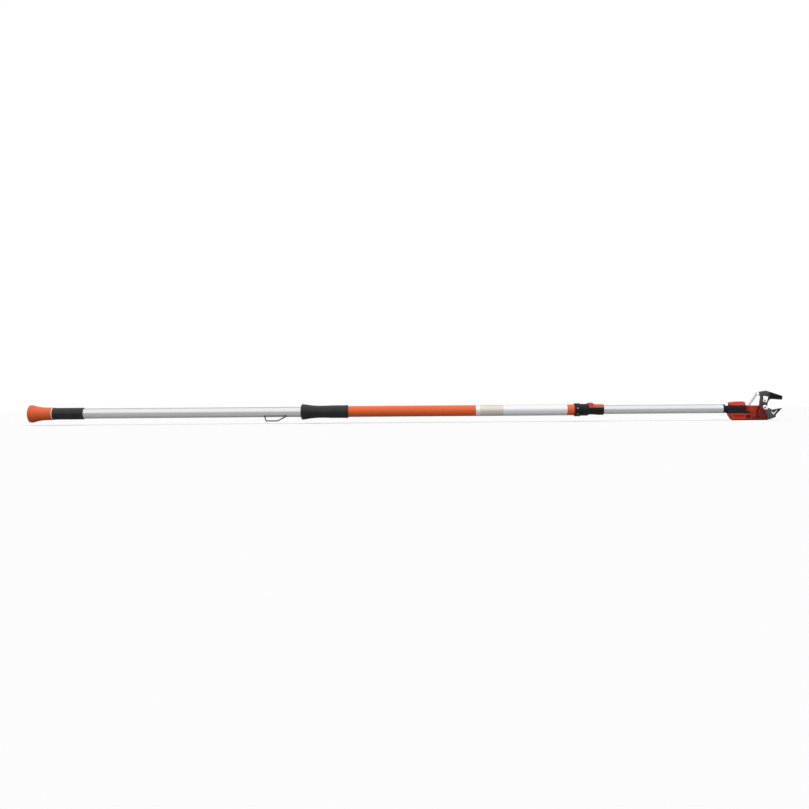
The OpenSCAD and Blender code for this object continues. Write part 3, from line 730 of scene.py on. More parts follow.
round_rim = [
    (CAP_ROUND - CAP_ROUND * math.cos(turn), CAP_END_RADIUS - CAP_ROUND + CAP_ROUND * math.sin(turn))
    for turn in (math.radians(90 * step / RIM_STEPS) for step in range(RIM_STEPS + 1))]
cap_profile = [
    (0, 0), *round_rim,
    *about(CAP_GROOVE[0], CAP_END_RADIUS, (0, 0), (CAP_GROOVE_SLOPE, -CAP_GROOVE_DEPTH)),
    *about(CAP_GROOVE[1], CAP_END_RADIUS, (-CAP_GROOVE_SLOPE, -CAP_GROOVE_DEPTH), (0, 0)),
    *curve((CAP_FLARE[0], CAP_END_RADIUS), (CAP_FLARE[1], CAP_NECK_RADIUS),
           lambda share: 1 - (1 - share) ** CAP_POWER),
    *about(cap_end, CAP_NECK_RADIUS, (-CAP_EDGE, 0), (0, -CAP_EDGE)),
    (cap_end, TUBE_RADIUS + SEAT), (CAP_FLOOR, TUBE_RADIUS + SEAT), (CAP_FLOOR, 0)]
fit("end_cap_moulded", [turned(cap_profile, closed=False)], cap_orange, "handle", "orange_plastic",
    "end_cap")


# %% [markdown]
# ## Grips
# The rear grip is a sleeve with a raised lip at the cap. The mid grip swells to a stop at its lower
# end, narrows to a waist and ends in a small bead on the orange tube. Both are spun. A short list
# of points gives the form, and curves between them give the soft swell of rubber.

# %% Rear grip
rear_low, rear_high = span("rear_grip")
REAR_RADIUS = 17.7
SOFT_CREASE = 50

rear_profile = [
    (rear_low.x, TUBE_RADIUS + SEAT),
    *about(rear_low.x, REAR_RADIUS, (0, -0.4), (0.9, 0.6), (5.4, 0.6), (6.0, 0.2), (7.4, 0)),
    *about(rear_high.x, REAR_RADIUS, (-2.2, 0), (-0.7, -0.5), (0, -1.4)),
    (rear_high.x, TUBE_RADIUS + SEAT)]
fit("rear_grip_sleeve", [turned(rear_profile)], grip_rubber, "handle", "grip_rubber", "rear_grip",
    crease=SOFT_CREASE)

# %% Mid grip
grip_low, grip_high = span("mid_grip")
SLEEVE_RADIUS = span("outer_tube")[1].z + SEAT
WIPER_RADIUS = 19.03
WIPER_LENGTH = 4.0
FLARE_RADIUS = grip_high.z
WAIST_RADIUS = 18.4
PALM_RADIUS = WAIST_RADIUS + 0.8
BEAD_RADIUS = 19.6
FLARE_POWER = 1.4

grip_profile = [
    (grip_low.x - 2.4, WIPER_RADIUS),
    *about(grip_low.x, FLARE_RADIUS, (-2.4, -5.6), (-1.9, -4.0), (-0.7, -1.8), (0.6, -0.3), (1.8, 0.5)),
    *curve((grip_low.x + 3.2, FLARE_RADIUS + 0.6), (grip_low.x + 48, WAIST_RADIUS),
           lambda share: 1 - (1 - share) ** FLARE_POWER),
    *curve((grip_low.x + 66, WAIST_RADIUS), (grip_high.x - 46, PALM_RADIUS),
           lambda share: (1 - math.cos(math.pi * share)) / 2),
    *about(grip_high.x, PALM_RADIUS, (-11, 0), (-9.4, 0.2)),
    *about(grip_high.x, BEAD_RADIUS, (-8.2, 0), (-1.4, 0), (-0.3, -0.5), (0, -1.3)),
    (grip_high.x, SLEEVE_RADIUS), (grip_low.x + WIPER_LENGTH, SLEEVE_RADIUS),
    (grip_low.x + WIPER_LENGTH, WIPER_RADIUS)]
fit("mid_grip_sleeve", [turned(grip_profile)], grip_rubber, "pole", "grip_rubber", "mid_grip",
    crease=SOFT_CREASE)


# %% [markdown]
# ## Hanging loop
# A bent wire under the lower tube hooks over a branch. Wire is bent round a former, so each corner
# is an arc. A circle is extruded along the straight runs and spun round each bend, which keeps the
# wire round all the way.

# %% Hanging loop
hook_low, hook_high = span("hanger_wire")
WIRE_RADIUS = 1.8
WIRE_BEND = 2.0
LEG_TILT = math.radians(48)
LEG_RADIUS = 17.6
LEG_END = 14.2
LEG_LEAN = 4.0
LEG_SLANT = 25.0
BEND_STEPS = 8
loop_left = hook_low.x + WIRE_RADIUS + 0.1
loop_right = hook_high.x - WIRE_RADIUS + 1.5
loop_bottom = hook_low.z + WIRE_RADIUS + 0.9
leg_way = Vector((0, -math.cos(LEG_TILT), -math.sin(LEG_TILT)))


def bent_wire(route, radius, bend, sides=20):
    """A round wire along straight runs, with an arc at each corner of its route."""
    mesh = bmesh.new()
    points = [Vector(point) for point in route]
    way = (points[1] - points[0]).normalized()
    turn = Vector((0, 0, 1)).rotation_difference(way).to_matrix().to_4x4()
    bmesh.ops.create_circle(
        mesh, cap_ends=True, radius=radius, segments=sides, matrix=Matrix.Translation(points[0]) @ turn)
    end, here = mesh.edges[:], points[0]
    for corner, after in zip(points[1:], points[2:] + [None]):
        way = (corner - here).normalized()
        leave = (after - corner).normalized() if after else way
        angle = way.angle(leave)
        setback = bend * math.tan(angle / 2)
        straight = bmesh.ops.extrude_edge_only(mesh, edges=end)["geom"]
        ring = only(bmesh.types.BMVert, straight)
        bmesh.ops.translate(mesh, verts=ring, vec=corner - way * setback - here)
        end = [
            edge for edge in only(bmesh.types.BMEdge, straight)
            if all(vert in ring for vert in edge.verts)]
        if after:
            axis = way.cross(leave).normalized()
            centre = corner - way * setback + axis.cross(way) * bend
            spun = bmesh.ops.spin(
                mesh, geom=end, cent=centre, axis=axis, angle=angle, steps=BEND_STEPS)["geom_last"]
            end = only(bmesh.types.BMEdge, spun)
            here = corner + leave * setback
    bmesh.ops.contextual_create(mesh, geom=end)
    return clean(mesh)


left_leg = Vector((loop_left, 0, 0))
right_leg = Vector((loop_right, 0, 0))
loop_route = [
    left_leg + leg_way * LEG_END, left_leg + leg_way * LEG_RADIUS,
    (loop_left + LEG_LEAN, leg_way.y * LEG_RADIUS, loop_bottom),
    (loop_right - LEG_SLANT, leg_way.y * LEG_RADIUS, loop_bottom),
    right_leg + leg_way * LEG_RADIUS, right_leg + leg_way * LEG_END]
fit("hanger_wire_bent", [bent_wire(loop_route, WIRE_RADIUS, WIRE_BEND)], hanger_coat, "handle",
    "dark_wire", "hanger_wire")


# %% [markdown]
# ## Clamp
# The black clamp grips the upper tube. Its collar sits on the outer tube, and its split nose is
# squeezed by a bolt through two ears. The collar is spun full round. The nose is spun less than a full
# turn, which leaves the slit, and a half spin thickens its underside. The ears are slabs with round
# tops.

# %% Clamp body
clamp_low, clamp_high = span("clamp_body")
COLLAR_RADIUS = 19.7
BODY_RADIUS = 17.8
NOSE_RADIUS = 14.6
NOSE_BORE = 13.5
CLAMP_STEP = clamp_low.x + 17
CLAMP_NOSE = clamp_low.x + 42
SLIT_ANGLE = 4.4
EAR_Y = (1.0, 7.7)
EAR_RADIUS = 3.9
EAR_ROOT = 11.0
EAR_ROUND = 0.98
BELLY_START, BELLY_SWEEP, BELLY_STEPS = 95, 170, 48
clamp_bolt_at = (CLAMP_NOSE + 5.5, 17.0)

collar_profile = [
    (clamp_low.x, SLEEVE_RADIUS),
    *about(clamp_low.x, COLLAR_RADIUS, (0, -1.0), (0.4, -0.3), (1.2, 0)),
    *about(CLAMP_STEP, COLLAR_RADIUS, (-1.2, 0), (-0.4, -0.3), (0, -1.0)),
    (CLAMP_STEP + 0.3, BODY_RADIUS),
    *about(CLAMP_NOSE, BODY_RADIUS, (-2.2, 0), (-0.8, -0.6), (0, -1.8)),
    *about(CLAMP_NOSE, NOSE_BORE, (0, 0), (-2, 0)), (CLAMP_NOSE - 2, SLEEVE_RADIUS)]
nose_profile = [
    (CLAMP_NOSE - 0.2, NOSE_BORE), (CLAMP_NOSE - 0.2, NOSE_RADIUS),
    *about(clamp_high.x, NOSE_RADIUS, (-1.2, 0), (0, -0.8)), (clamp_high.x, NOSE_BORE)]
belly_profile = [
    *about(CLAMP_NOSE, NOSE_RADIUS, (8, -0.4), (20, 0.5), (32, 1.4)),
    *about(clamp_high.x, NOSE_RADIUS, (-3, 1.6), (-0.8, 0.9), (-0.1, -0.4))]


def ear(at, radius, low_y, high_y, root):
    """A lug with a round top that rises from the pole to a cross bolt."""
    left, right, top = at[0] - radius, at[0] + radius, at[1] + radius
    setback = radius * EAR_ROUND
    outline = [(left, root), (left, top, setback), (right, top, setback), (right, root)]
    return ease(slab(outline, low_y, high_y), 0.5)


clamp_shells = [
    turned(collar_profile),
    turned(belly_profile, sweep=BELLY_SWEEP, start=BELLY_START, steps=BELLY_STEPS),
    turned(nose_profile, sweep=360 - 2 * SLIT_ANGLE, start=SLIT_ANGLE),
    *both_sides(lambda low, high: ear(clamp_bolt_at, EAR_RADIUS, low, high, EAR_ROOT), *EAR_Y)]
fit("clamp_body_moulded", clamp_shells, black_moulding, "pole", "black_plastic", "clamp_body")


# %% [markdown]
# Two small screws lock the collar on the outer tube. Each is a domed disc with a socket pressed
# in its middle: a cone for the disc, an inset and a sunk face for the socket.

# %% Screw heads
SCREW_SIDES = 32
SCREW_EASE = 0.35
CROWN_SHARE = 0.3
SOCKET_SHARE = 0.45
SOCKET_SLOPE = 0.12


def disc(radius, height, sides):
    """A plain disc about the Z axis, with the origin in its middle."""
    mesh = bmesh.new()
    bmesh.ops.create_cone(
        mesh, cap_ends=True, segments=sides, radius1=radius, radius2=radius, depth=height)
    return mesh


def screw_head(radius, height, socket):
    """A low screw head at the origin that faces up the Z axis, with a round socket in its top."""
    mesh = disc(radius, height, SCREW_SIDES)
    bmesh.ops.translate(mesh, verts=mesh.verts, vec=(0, 0, height / 2))
    ease(mesh, height * SCREW_EASE, 3)
    crown = max(mesh.faces, key=lambda face: face.calc_center_median().z)
    reach = max((vert.co - crown.calc_center_median()).length for vert in crown.verts)
    bmesh.ops.inset_region(mesh, faces=[crown], thickness=max(radius * CROWN_SHARE, reach - socket))
    bmesh.ops.inset_region(mesh, faces=[crown], thickness=SOCKET_SLOPE, depth=-height * SOCKET_SHARE)
    return clean(mesh)


def aim(mesh, place, way):
    """Moves a head made at the origin to a place, facing along a direction."""
    turn = Vector((0, 0, 1)).rotation_difference(Vector(way)).to_matrix()
    bmesh.ops.rotate(mesh, verts=mesh.verts, cent=(0, 0, 0), matrix=turn)
    bmesh.ops.translate(mesh, verts=mesh.verts, vec=place)
    return mesh


COLLAR_SCREW = {"radius": 2.5, "height": 1.5, "socket": 1.2}
COLLAR_SCREW_ANGLES = (14, -41)
COLLAR_SCREW_X = clamp_low.x + 8.5
COLLAR_SCREW_SEAT = COLLAR_RADIUS - 0.6
collar_heads = []
for angle in COLLAR_SCREW_ANGLES:
    way = Vector((0, -math.cos(math.radians(angle)), math.sin(math.radians(angle))))
    base = Vector((COLLAR_SCREW_X, 0, 0)) + way * COLLAR_SCREW_SEAT
    collar_heads.append(aim(screw_head(**COLLAR_SCREW), base, way))
fit("collar_screw_heads", collar_heads, screw_steel, "pole", "bright_steel", "collar_screws")


# %% [markdown]
# ## Clamp lever
# The orange cam lever turns on the clamp's bolt and lies over the nose like a saddle. Partial spins
# about the pole make the saddle, wide at the hand's end and open in the middle near the bolt. Discs
# make the cam hubs, and a rounded cheek on each side ties a hub to the saddle.

# %% Lever saddle
lever_end = span("clamp_lever")[1].x
SADDLE_INNER = 15.05
SADDLE_HALF = 68
SADDLE_OPEN = 32
SADDLE_STEPS = 56
SADDLE_SHARP = 50
CORNER_FROM, CORNER_TO = 44, 70
CORNER_BACK = 6.0
SADDLE_WEB = clamp_bolt_at[0] + 5.6
HAND_FROM, HAND_TO = (SADDLE_WEB, 2.1), (lever_end, 1.0)
ARM_FROM, ARM_TO = (clamp_bolt_at[0] + 1.2, 2.2), (SADDLE_WEB + 0.8, 2.05)


def saddle(start, end, from_angle, to_angle):
    """A curved plate over the pole between two stations (x, thickness) and two angles."""
    profile = [
        (start[0], SADDLE_INNER), (start[0], SADDLE_INNER + start[1]),
        (end[0], SADDLE_INNER + end[1]), (end[0], SADDLE_INNER)]
    return turned(profile, sweep=to_angle - from_angle, start=from_angle, steps=SADDLE_STEPS)


def round_end(shape):
    """Draws the hand's end back towards its two side edges, so that its corners are round."""
    for vert in shape.verts:
        angle = math.degrees(abs(math.atan2(vert.co.y, vert.co.z)))
        share = max(0, (angle - CORNER_FROM) / (CORNER_TO - CORNER_FROM))
        if vert.co.x > lever_end - WELD:
            vert.co.x -= CORNER_BACK * (1 - math.sqrt(max(0, 1 - share * share)))
    return shape


saddle_shells = [
    round_end(saddle(HAND_FROM, HAND_TO, -SADDLE_HALF, SADDLE_HALF)),
    *both_sides(lambda low, high: saddle(ARM_FROM, ARM_TO, low, high), SADDLE_OPEN, SADDLE_HALF)]
saddle_shells = [ease(shell, 0.4, sharper_than=SADDLE_SHARP) for shell in saddle_shells]
fit("clamp_lever_saddle", saddle_shells, lever_orange, "clamp_lever", "orange_plastic", "clamp_lever")

# %% Lever hubs
HUB_Y = (8.0, 14.5)
HUB_RADIUS = 4.2
HUB_SIDES = 48
LEVER_CHEEK_Y = (14.0, 16.2)
cheek_about_bolt = [
    (-7.5, -3.5, 3.5), (-7, 4.2, 4.5), (4.5, 4.4, 3.0), (8.5, 1.5, 2.0), (8.5, -11.3),
    (-4.3, -11.3, 3.0)]
lever_cheek = [
    (clamp_bolt_at[0] + x, clamp_bolt_at[1] + z, *setback) for x, z, *setback in cheek_about_bolt]


def hub(at, radius, low_y, high_y, rounding):
    """A disc on a cross bolt, with rounded rims."""
    mesh = ease(disc(radius, high_y - low_y, HUB_SIDES), rounding, 3)
    middle = Vector((at[0], (low_y + high_y) / 2, at[1]))
    return clean(aim(mesh, middle, (0, 1, 0)))


hub_shells = [
    *both_sides(lambda low, high: hub(clamp_bolt_at, HUB_RADIUS, low, high, 0.5), *HUB_Y),
    *both_sides(lambda low, high: ease(slab(lever_cheek, low, high), 0.6, 3), *LEVER_CHEEK_Y)]
fit("clamp_lever_hubs", hub_shells, lever_red, "clamp_lever", "orange_plastic")


# %% [markdown]
# ## Swivel collar
# The black collar lets the head turn on the stem at the pole's end. It is a barrel with a slit on
# top, where the lock lever's bolt draws two ears together, and an open underside further on, where
# the carriage and the link pass. Four spins make it, the first with a flat cut on top. Two skirts
# close it against the casing, and a foot inside the casing takes the screws.

# %% Swivel collar
LOCK_AT = (23.0, 15.2)
COLLAR_START, COLLAR_FLAT, COLLAR_STEP, COLLAR_OPEN, COLLAR_END = 6.4, 19.0, 42.4, 46.4, 69.3
BARREL = 12.5
STEM_BORE = 8.6
CHAMBER = 11.0
BARREL_ROUND = 0.9
RIM_CURVE = ((0, 1), (0.3, 0.3), (1, 0))
BARREL_SLIT = 4.6
FLAT_HEIGHT = 9.2
ARCH_HALF = 126
SKIRT_Y = (10.05, 12.05)
FOOT_HALF = 8.0
LOCK_EAR_RADIUS = 3.1
LOCK_EAR_Y = (1.0, 5.0)
LOCK_EAR_ROOT = 8.0


def fit_head(name, shells, *details):
    """Fits a piece drawn in the head's own frame, which starts at the end of the upper tube."""
    for shell in shells:
        bmesh.ops.translate(shell, verts=shell.verts, vec=(HEAD, 0, 0))
    fit(name, shells, *details)


def cut(mesh, place, way, drop=True):
    """Cuts a mesh along a plane and drops what lies beyond it, or only adds the edges of the cut."""
    bmesh.ops.bisect_plane(
        mesh, geom=mesh.verts[:] + mesh.edges[:] + mesh.faces[:], plane_co=place, plane_no=way,
        clear_outer=drop)


def capped(mesh):
    """Closes every open rim with a face."""
    bmesh.ops.holes_fill(mesh, edges=[edge for edge in mesh.edges if edge.is_boundary], sides=0)
    return clean(mesh)


def bush(start, end, bore, round_start=0.0, round_end=0.0):
    """The profile of a bush with rounded outer rims."""
    return [
        (start, bore),
        *((start + along * round_start, BARREL - down * round_start) for along, down in RIM_CURVE),
        *((end - along * round_end, BARREL - down * round_end) for along, down in reversed(RIM_CURVE)),
        (end, bore)]


skirt_outline = [
    (13.5, -4.5), (13.5, -14.2, 2.0), (76.8, -14.2, 0.5), (76.8, -9.2, 0.5), (69.6, -9.2, 0.5),
    (69.6, -4.5, 1.0)]
foot_outline = [(20.2, -8), (44, -8), (44, -24), (20.2, -24)]
split = {"sweep": 360 - 2 * BARREL_SLIT, "start": BARREL_SLIT}
arch = {"sweep": 2 * ARCH_HALF, "start": -ARCH_HALF}
flat_barrel = turned(bush(COLLAR_START, COLLAR_FLAT, STEM_BORE, round_start=BARREL_ROUND), **split)
cut(flat_barrel, (0, 0, FLAT_HEIGHT), (0, 0, 1))
collar_shells = [
    capped(flat_barrel),
    turned(bush(COLLAR_FLAT, COLLAR_STEP, STEM_BORE), **split),
    turned(bush(COLLAR_STEP, COLLAR_OPEN, CHAMBER)),
    turned(bush(COLLAR_OPEN, COLLAR_END, CHAMBER, round_end=BARREL_ROUND), **arch),
    *both_sides(lambda low, high: ease(slab(skirt_outline, low, high), 0.5), *SKIRT_Y),
    ease(slab(foot_outline, -FOOT_HALF, FOOT_HALF), 0.5),
    *both_sides(lambda low, high: ear(LOCK_AT, LOCK_EAR_RADIUS, low, high, LOCK_EAR_ROOT), *LOCK_EAR_Y)]
fit_head("swivel_collar_moulded", collar_shells, black_moulding, "head", "black_plastic",
         "swivel_collar")


# %% [markdown]
# ## Lock lever
# A second cam lever on the head locks its swivel. It is a bent channel like a small loaf: a top web
# with a sloping thumb end, and a rounded arm down each side. The front arm reaches further past the
# bolt than the back one, and a small hub inside each arm sits on the bolt.

# %% Lock lever
LOCK_TOP = 21.6
WEB_HALF = 10.6
ARM_Y = (10.2, 11.8)
LOCK_HUB_RADIUS = 3.2
LOCK_HUB_Y = (5.1, 10.4)

web_outline = [
    (22.5, 17.6), (22.5, 20.0, 1.2), (38, LOCK_TOP, 6.0), (58, LOCK_TOP, 4.0), (65.2, 17.6, 2.0),
    (65.2, 15.4), (58.6, 19.7, 3.0), (38, 19.7, 6.0)]
arm_outline = [
    (38, LOCK_TOP, 6.0), (59, LOCK_TOP, 4.0), (64.8, 18.8, 3.0), (65.4, 8.9, 3.5), (25, 8.9, 3.0)]
front_reach = [(17.6, 10.4, 4.0), (15.2, 15.6, 3.0), (19.4, 19.4, 2.5)]
back_reach = [(20.0, 11.4, 3.0), (20.0, 18.6, 3.0)]
lock_shells = [
    ease(slab(web_outline, -WEB_HALF, WEB_HALF), 0.5, 3),
    ease(slab(arm_outline + front_reach, -ARM_Y[1], -ARM_Y[0]), 0.9, 4),
    ease(slab(arm_outline + back_reach, ARM_Y[0], ARM_Y[1]), 0.9, 4),
    *both_sides(lambda low, high: hub(LOCK_AT, LOCK_HUB_RADIUS, low, high, 0.4), *LOCK_HUB_Y)]
fit_head("lock_lever_moulded", lock_shells, lever_red, "lock_lever", "orange_plastic", "lock_lever")


# %% [markdown]
# Each lever turns on a cross bolt with a red cover on either end: a thin shank and two rounded discs.

# %% Lever bolts
SHANK_RADIUS = 2.0
SHANK_OVER = 0.5
COVER_RADIUS = 3.0
COVER_HEIGHT = 1.1
CLAMP_BOLT_HALF = 16.1
LOCK_BOLT_HALF = 11.7
lock_bolt_at = (HEAD + LOCK_AT[0], LOCK_AT[1])
lever_bolts = (
    ("clamp_bolt_covers", clamp_bolt_at, CLAMP_BOLT_HALF, "pole", ("clamp_bolt", "clamp_nut")),
    ("lock_bolt_covers", lock_bolt_at, LOCK_BOLT_HALF, "head", ("lock_bolt", "lock_nut")))
for name, at, half, body, covered in lever_bolts:
    covers = both_sides(
        lambda low, high: hub(at, COVER_RADIUS, low, high, 0.5), half, half + COVER_HEIGHT)
    shank = hub(at, SHANK_RADIUS, -half - SHANK_OVER, half + SHANK_OVER, 0.2)
    fit(name, [*covers, shank], lever_red, body, "orange_plastic", *covered)


# %% [markdown]
# ## Head casing
# Two orange halves close round the carriage and hold the lower jaw. Each half is a side wall with
# deep moulded relief: a square pocket, a raised pad, and a triangular cheek that stands in a wide
# groove. The front one also has a sunk panel on the ear under the collar. A thick skin with holes
# leaves the sunk areas, pans close them, and the raised forms are slabs set into the wall. Each sunk
# area is an outline, its depth and how dark its painted shade is.

# %% Casing side wall
CASING_HALF = 14.0
WALL_IN = 10.1
SKIN = 2.8
PAN_BACK = WALL_IN + 0.1
CORE_FACE = CASING_HALF - SKIN + 0.05
RAISED_BACK = CASING_HALF - 1.5 * SKIN
PAD_RISE = 1.1
CHEEK_RISE = 1.2
CHEEK_RIM = 1.5
CHEEK_SLOPE = 0.4
CHEEK_SINK = 1.6
# Painted shade shares for the cheek, its part past the jaw's rim, and its sunk floor.
CHEEK_SHADE, CHEEK_JAW_SHADE, CHEEK_FLOOR_SHADE = 0.25, 0.5, 0.5
JAW_RIM = 118.0
# Painted shade share for the skin's lower part past the jaw's rim.
RIM_SHADE = 0.7
side_outline = [
    (14.5, -13.2, 1.5), (76.3, -13.2, 0.5), (76.3, -9.7, 0.5), (69, -9.7, 0.5), (69, 9.2, 3.0),
    (112.5, 9.2, 4.0), (123, -3.5, 3.0), (132.4, -31.4), (23.7, -31.4), (14.5, -17, 3.0)]
core_outline = [
    (15.3, -14.0, 1.5), (77.1, -14.0, 0.5), (77.1, -8.9, 0.5), (69.8, -8.9, 0.5), (69.8, 8.4, 2.4),
    (112.0, 8.4, 4.0), (122.2, -3.8, 3.0), (131.6, -31.4), (24.5, -31.4), (15.3, -17, 3.0)]
panel_outline = [(20.5, -18.4, 3.0), (60.5, -18.4, 2.5), (60.5, -28.0, 2.5), (27, -28.0, 5.0)]
pocket_outline = [(64.3, -19.6, 1.0), (80.3, -19.6, 1.0), (80.3, -28.2, 1.0), (64.3, -28.2, 1.0)]
groove_outline = [
    (110.6, 7.6, 2.5), (101.4, 5.0, 2.0), (95.6, -14.6, 3.0), (96.2, -21.6, 2.5), (91, -25.2, 2.0),
    (84, -25.2, 1.0), (84, -28.3, 1.0), (129.4, -28.6, 2.0), (121.6, -4.2, 4.0)]
# Each sunk area: its outline, its depth, and the share of painted shade on its floor.
EAR_PANEL = (panel_outline, 1.7, 0.45)
POCKET = (pocket_outline, 2.2, 0.95)
GROOVE = (groove_outline, 2.5, 0.97)
cheek_outline = [
    (110.8, 5.6, 5.0), (100.6, -13.8, 3.5), (101.6, -20.8, 3.0), (107.5, -25, 3.0), (127.0, -26.2, 6.5),
    (120.0, -4.4, 4.0)]
pad_outline = [
    (74.0, 6.4, 2.0), (74.0, -6.6, 1.5), (79.0, -12.0, 2.0), (93.2, -12.0, 1.5), (98.6, 6.4, 1.5)]


def shade_painted(mesh, verts, share):
    """Marks vertices with a share of painted shade, so that the finish darkens the faces between them.
    """
    layer = mesh.verts.layers.float[PAINTED_SHADE_MARK]
    for vert in verts:
        vert[layer] = share
    return mesh


def pan(outline, depth, share):
    """The floor of a sunk area at a depth under the casing's face, darkened by a share of painted
    shade.
    """
    bottom = slab(outline, PAN_BACK, CASING_HALF - depth)
    return shade_painted(bottom, bottom.verts, share)


def raised(outline, rise, rounding):
    """A slab that stands out of the casing's side by its rise."""
    return ease(slab(outline, RAISED_BACK, CASING_HALF + rise), rounding, 3)


def cheek():
    """The triangular cheek: a raised slab whose top is sunk inside a rim, darkened by painted shade."""
    shape = raised(cheek_outline, CHEEK_RISE, 0.5)
    # Painted shade: the whole cheek, more past the jaw's rim, and most on its sunk floor.
    shade_painted(shape, shape.verts, CHEEK_SHADE)
    shade_painted(shape, [vert for vert in shape.verts if vert.co.x > JAW_RIM], CHEEK_JAW_SHADE)
    top = max(shape.faces, key=lambda face: face.calc_center_median().y)
    for inwards, down in ((CHEEK_RIM, 0), (CHEEK_SLOPE, CHEEK_SINK)):
        bmesh.ops.inset_region(shape, faces=[top], thickness=inwards, depth=-down, use_even_offset=True)
    return clean(shade_painted(shape, top.verts, CHEEK_FLOOR_SHADE))


def side_wall(sunk):
    """The shells of one side wall, drawn for the back, with its sunk areas."""
    skin = slab(side_outline, CASING_HALF - SKIN, CASING_HALF, [area[0] for area in sunk])
    # Painted shade on the skin's lower part past the jaw's rim.
    shade_painted(skin, [vert for vert in skin.verts if vert.co.x > JAW_RIM and vert.co.z < 0], RIM_SHADE)
    core = slab(core_outline, WALL_IN, CORE_FACE)
    pans = [pan(*area) for area in sunk]
    return [ease(skin, 0.6, 3), core, cheek(), raised(pad_outline, PAD_RISE, 0.7), *pans]


print("side wall: skin of", len(side_outline), "corners")

# %% [markdown]
# A lip runs along the casing's foot and slopes inwards to the underside. Edge walls run from the side
# to the parting face. The rear end is drawn back like a boat's bow, further the further a point lies
# from the middle plane.

# %% Casing edge and halves
FOOT, FOOT_IN = -34.95, -32.8
JAW_X = 111.2
PARTING = 0.15
JAW_SIDE = 6.4
BROW_OUT = 12.6
EDGE_OUT = 11.4
LIP_FACE = 15.0
LIP_FOOT = EDGE_OUT + 0.2
LIP_CREASE = -31.5
# Painted shade shares for the lip: all of it, its lower face, and extra past the jaw.
LIP_SHADE, LIP_LOW_SHADE, LIP_JAW_SHADE = 0.2, 0.45, 0.1
BOW_START, BOW_END, BOW_PUSH, BOW_HALF = 12.0, 52.0, 7.0, 14.6
BOW_RINGS = (3, 5.5, 7.5, 9, 10.3)
lip_outline = [
    (23.5, -29.6, 1.0), (131.5, -29.6, 0.8), (132.7, -33.0, 0.8), (131.4, FOOT, 0.8), (30.0, FOOT, 5.0)]
tray_outline = [
    (22, -13.3), (14.6, -13.3, 1.5), (14.6, -17, 3.0), (26, FOOT, 9.0), (JAW_X, FOOT),
    (JAW_X, FOOT_IN), (27.1, FOOT_IN, 5.0), (16.7, -16.4, 2.0), (16.7, -15.4), (22, -15.4)]
nose_outline = [
    (JAW_X, FOOT), (130.9, FOOT, 1.2), (132.7, -33, 1.0), (127.3, -16.4), (125.1, -16.4),
    (130.2, FOOT_IN), (JAW_X, FOOT_IN)]
brow_outline = [
    (69.1, -9), (69.1, 9.1, 3.0), (112.4, 9.1, 4.0), (122.9, -3.5, 3.0), (127.3, -16.4), (125.1, -16.4),
    (120.6, -4.2, 3.0), (111.4, 7.0, 3.0), (71.3, 7.0, 1.0), (71.3, -9)]


def lip():
    """The foot's lip, whose outer face leans in towards the underside, darkened by painted shade."""
    shape = slab(lip_outline, WALL_IN, LIP_FACE)
    low = [vert for vert in shape.verts if vert.co.y > WALL_IN + 1 and vert.co.z < LIP_CREASE]
    bmesh.ops.translate(shape, verts=low, vec=(0, LIP_FOOT - LIP_FACE, 0))
    # Painted shade: darker on the lower face and past the jaw.
    for vert in shape.verts:
        painted_shade = LIP_LOW_SHADE if vert in low else LIP_SHADE
        shade_painted(shape, [vert], painted_shade + (LIP_JAW_SHADE if vert.co.x > JAW_X else 0))
    return ease(shape, 0.5, 3)


def ringed(mesh):
    """Adds cuts across the Y axis, so that a wall can be drawn back in a curve."""
    for y in BOW_RINGS:
        cut(mesh, (0, y, 0), (0, 1, 0), drop=False)
    return mesh


def bowed(mesh):
    """Draws the rear end back, like a bow."""
    for vert in mesh.verts:
        reach = min(1, max(0, (BOW_END - vert.co.x) / (BOW_END - BOW_START)))
        out = min(abs(vert.co.y), CASING_HALF) / BOW_HALF
        vert.co.x += BOW_PUSH * reach * (1 - math.sqrt(1 - out * out))
    return mesh


def casing_half(sunk, nose_side):
    """One casing half, drawn for the back."""
    shells = [
        *side_wall(sunk), lip(), ringed(slab(tray_outline, PARTING, EDGE_OUT)),
        slab(nose_outline, nose_side, EDGE_OUT), slab(brow_outline, WALL_IN, BROW_OUT)]
    return [bowed(shell) for shell in shells]


BOSS_AT, BOSS_RADIUS, BOSS_RISE = (87, -3.4), 4.2, 1.7
boss = hub(BOSS_AT, BOSS_RADIUS, WALL_IN, CASING_HALF + BOSS_RISE, 0.4)
front_shells = [*casing_half([EAR_PANEL, POCKET, GROOVE], PARTING), boss]
for shell in front_shells:
    bmesh.ops.scale(shell, vec=(1, -1, 1), verts=shell.verts)
    bmesh.ops.recalc_face_normals(shell, faces=shell.faces)
fit_head("casing_front_moulded", front_shells, head_orange, "head", "orange_plastic", "casing_front")


# %% [markdown]
# The casing's screws and the jaw's bolts go in from the back. Their heads are larger versions of the
# collar's screws, and the jaw's bolts sit on round bosses in the cheek.

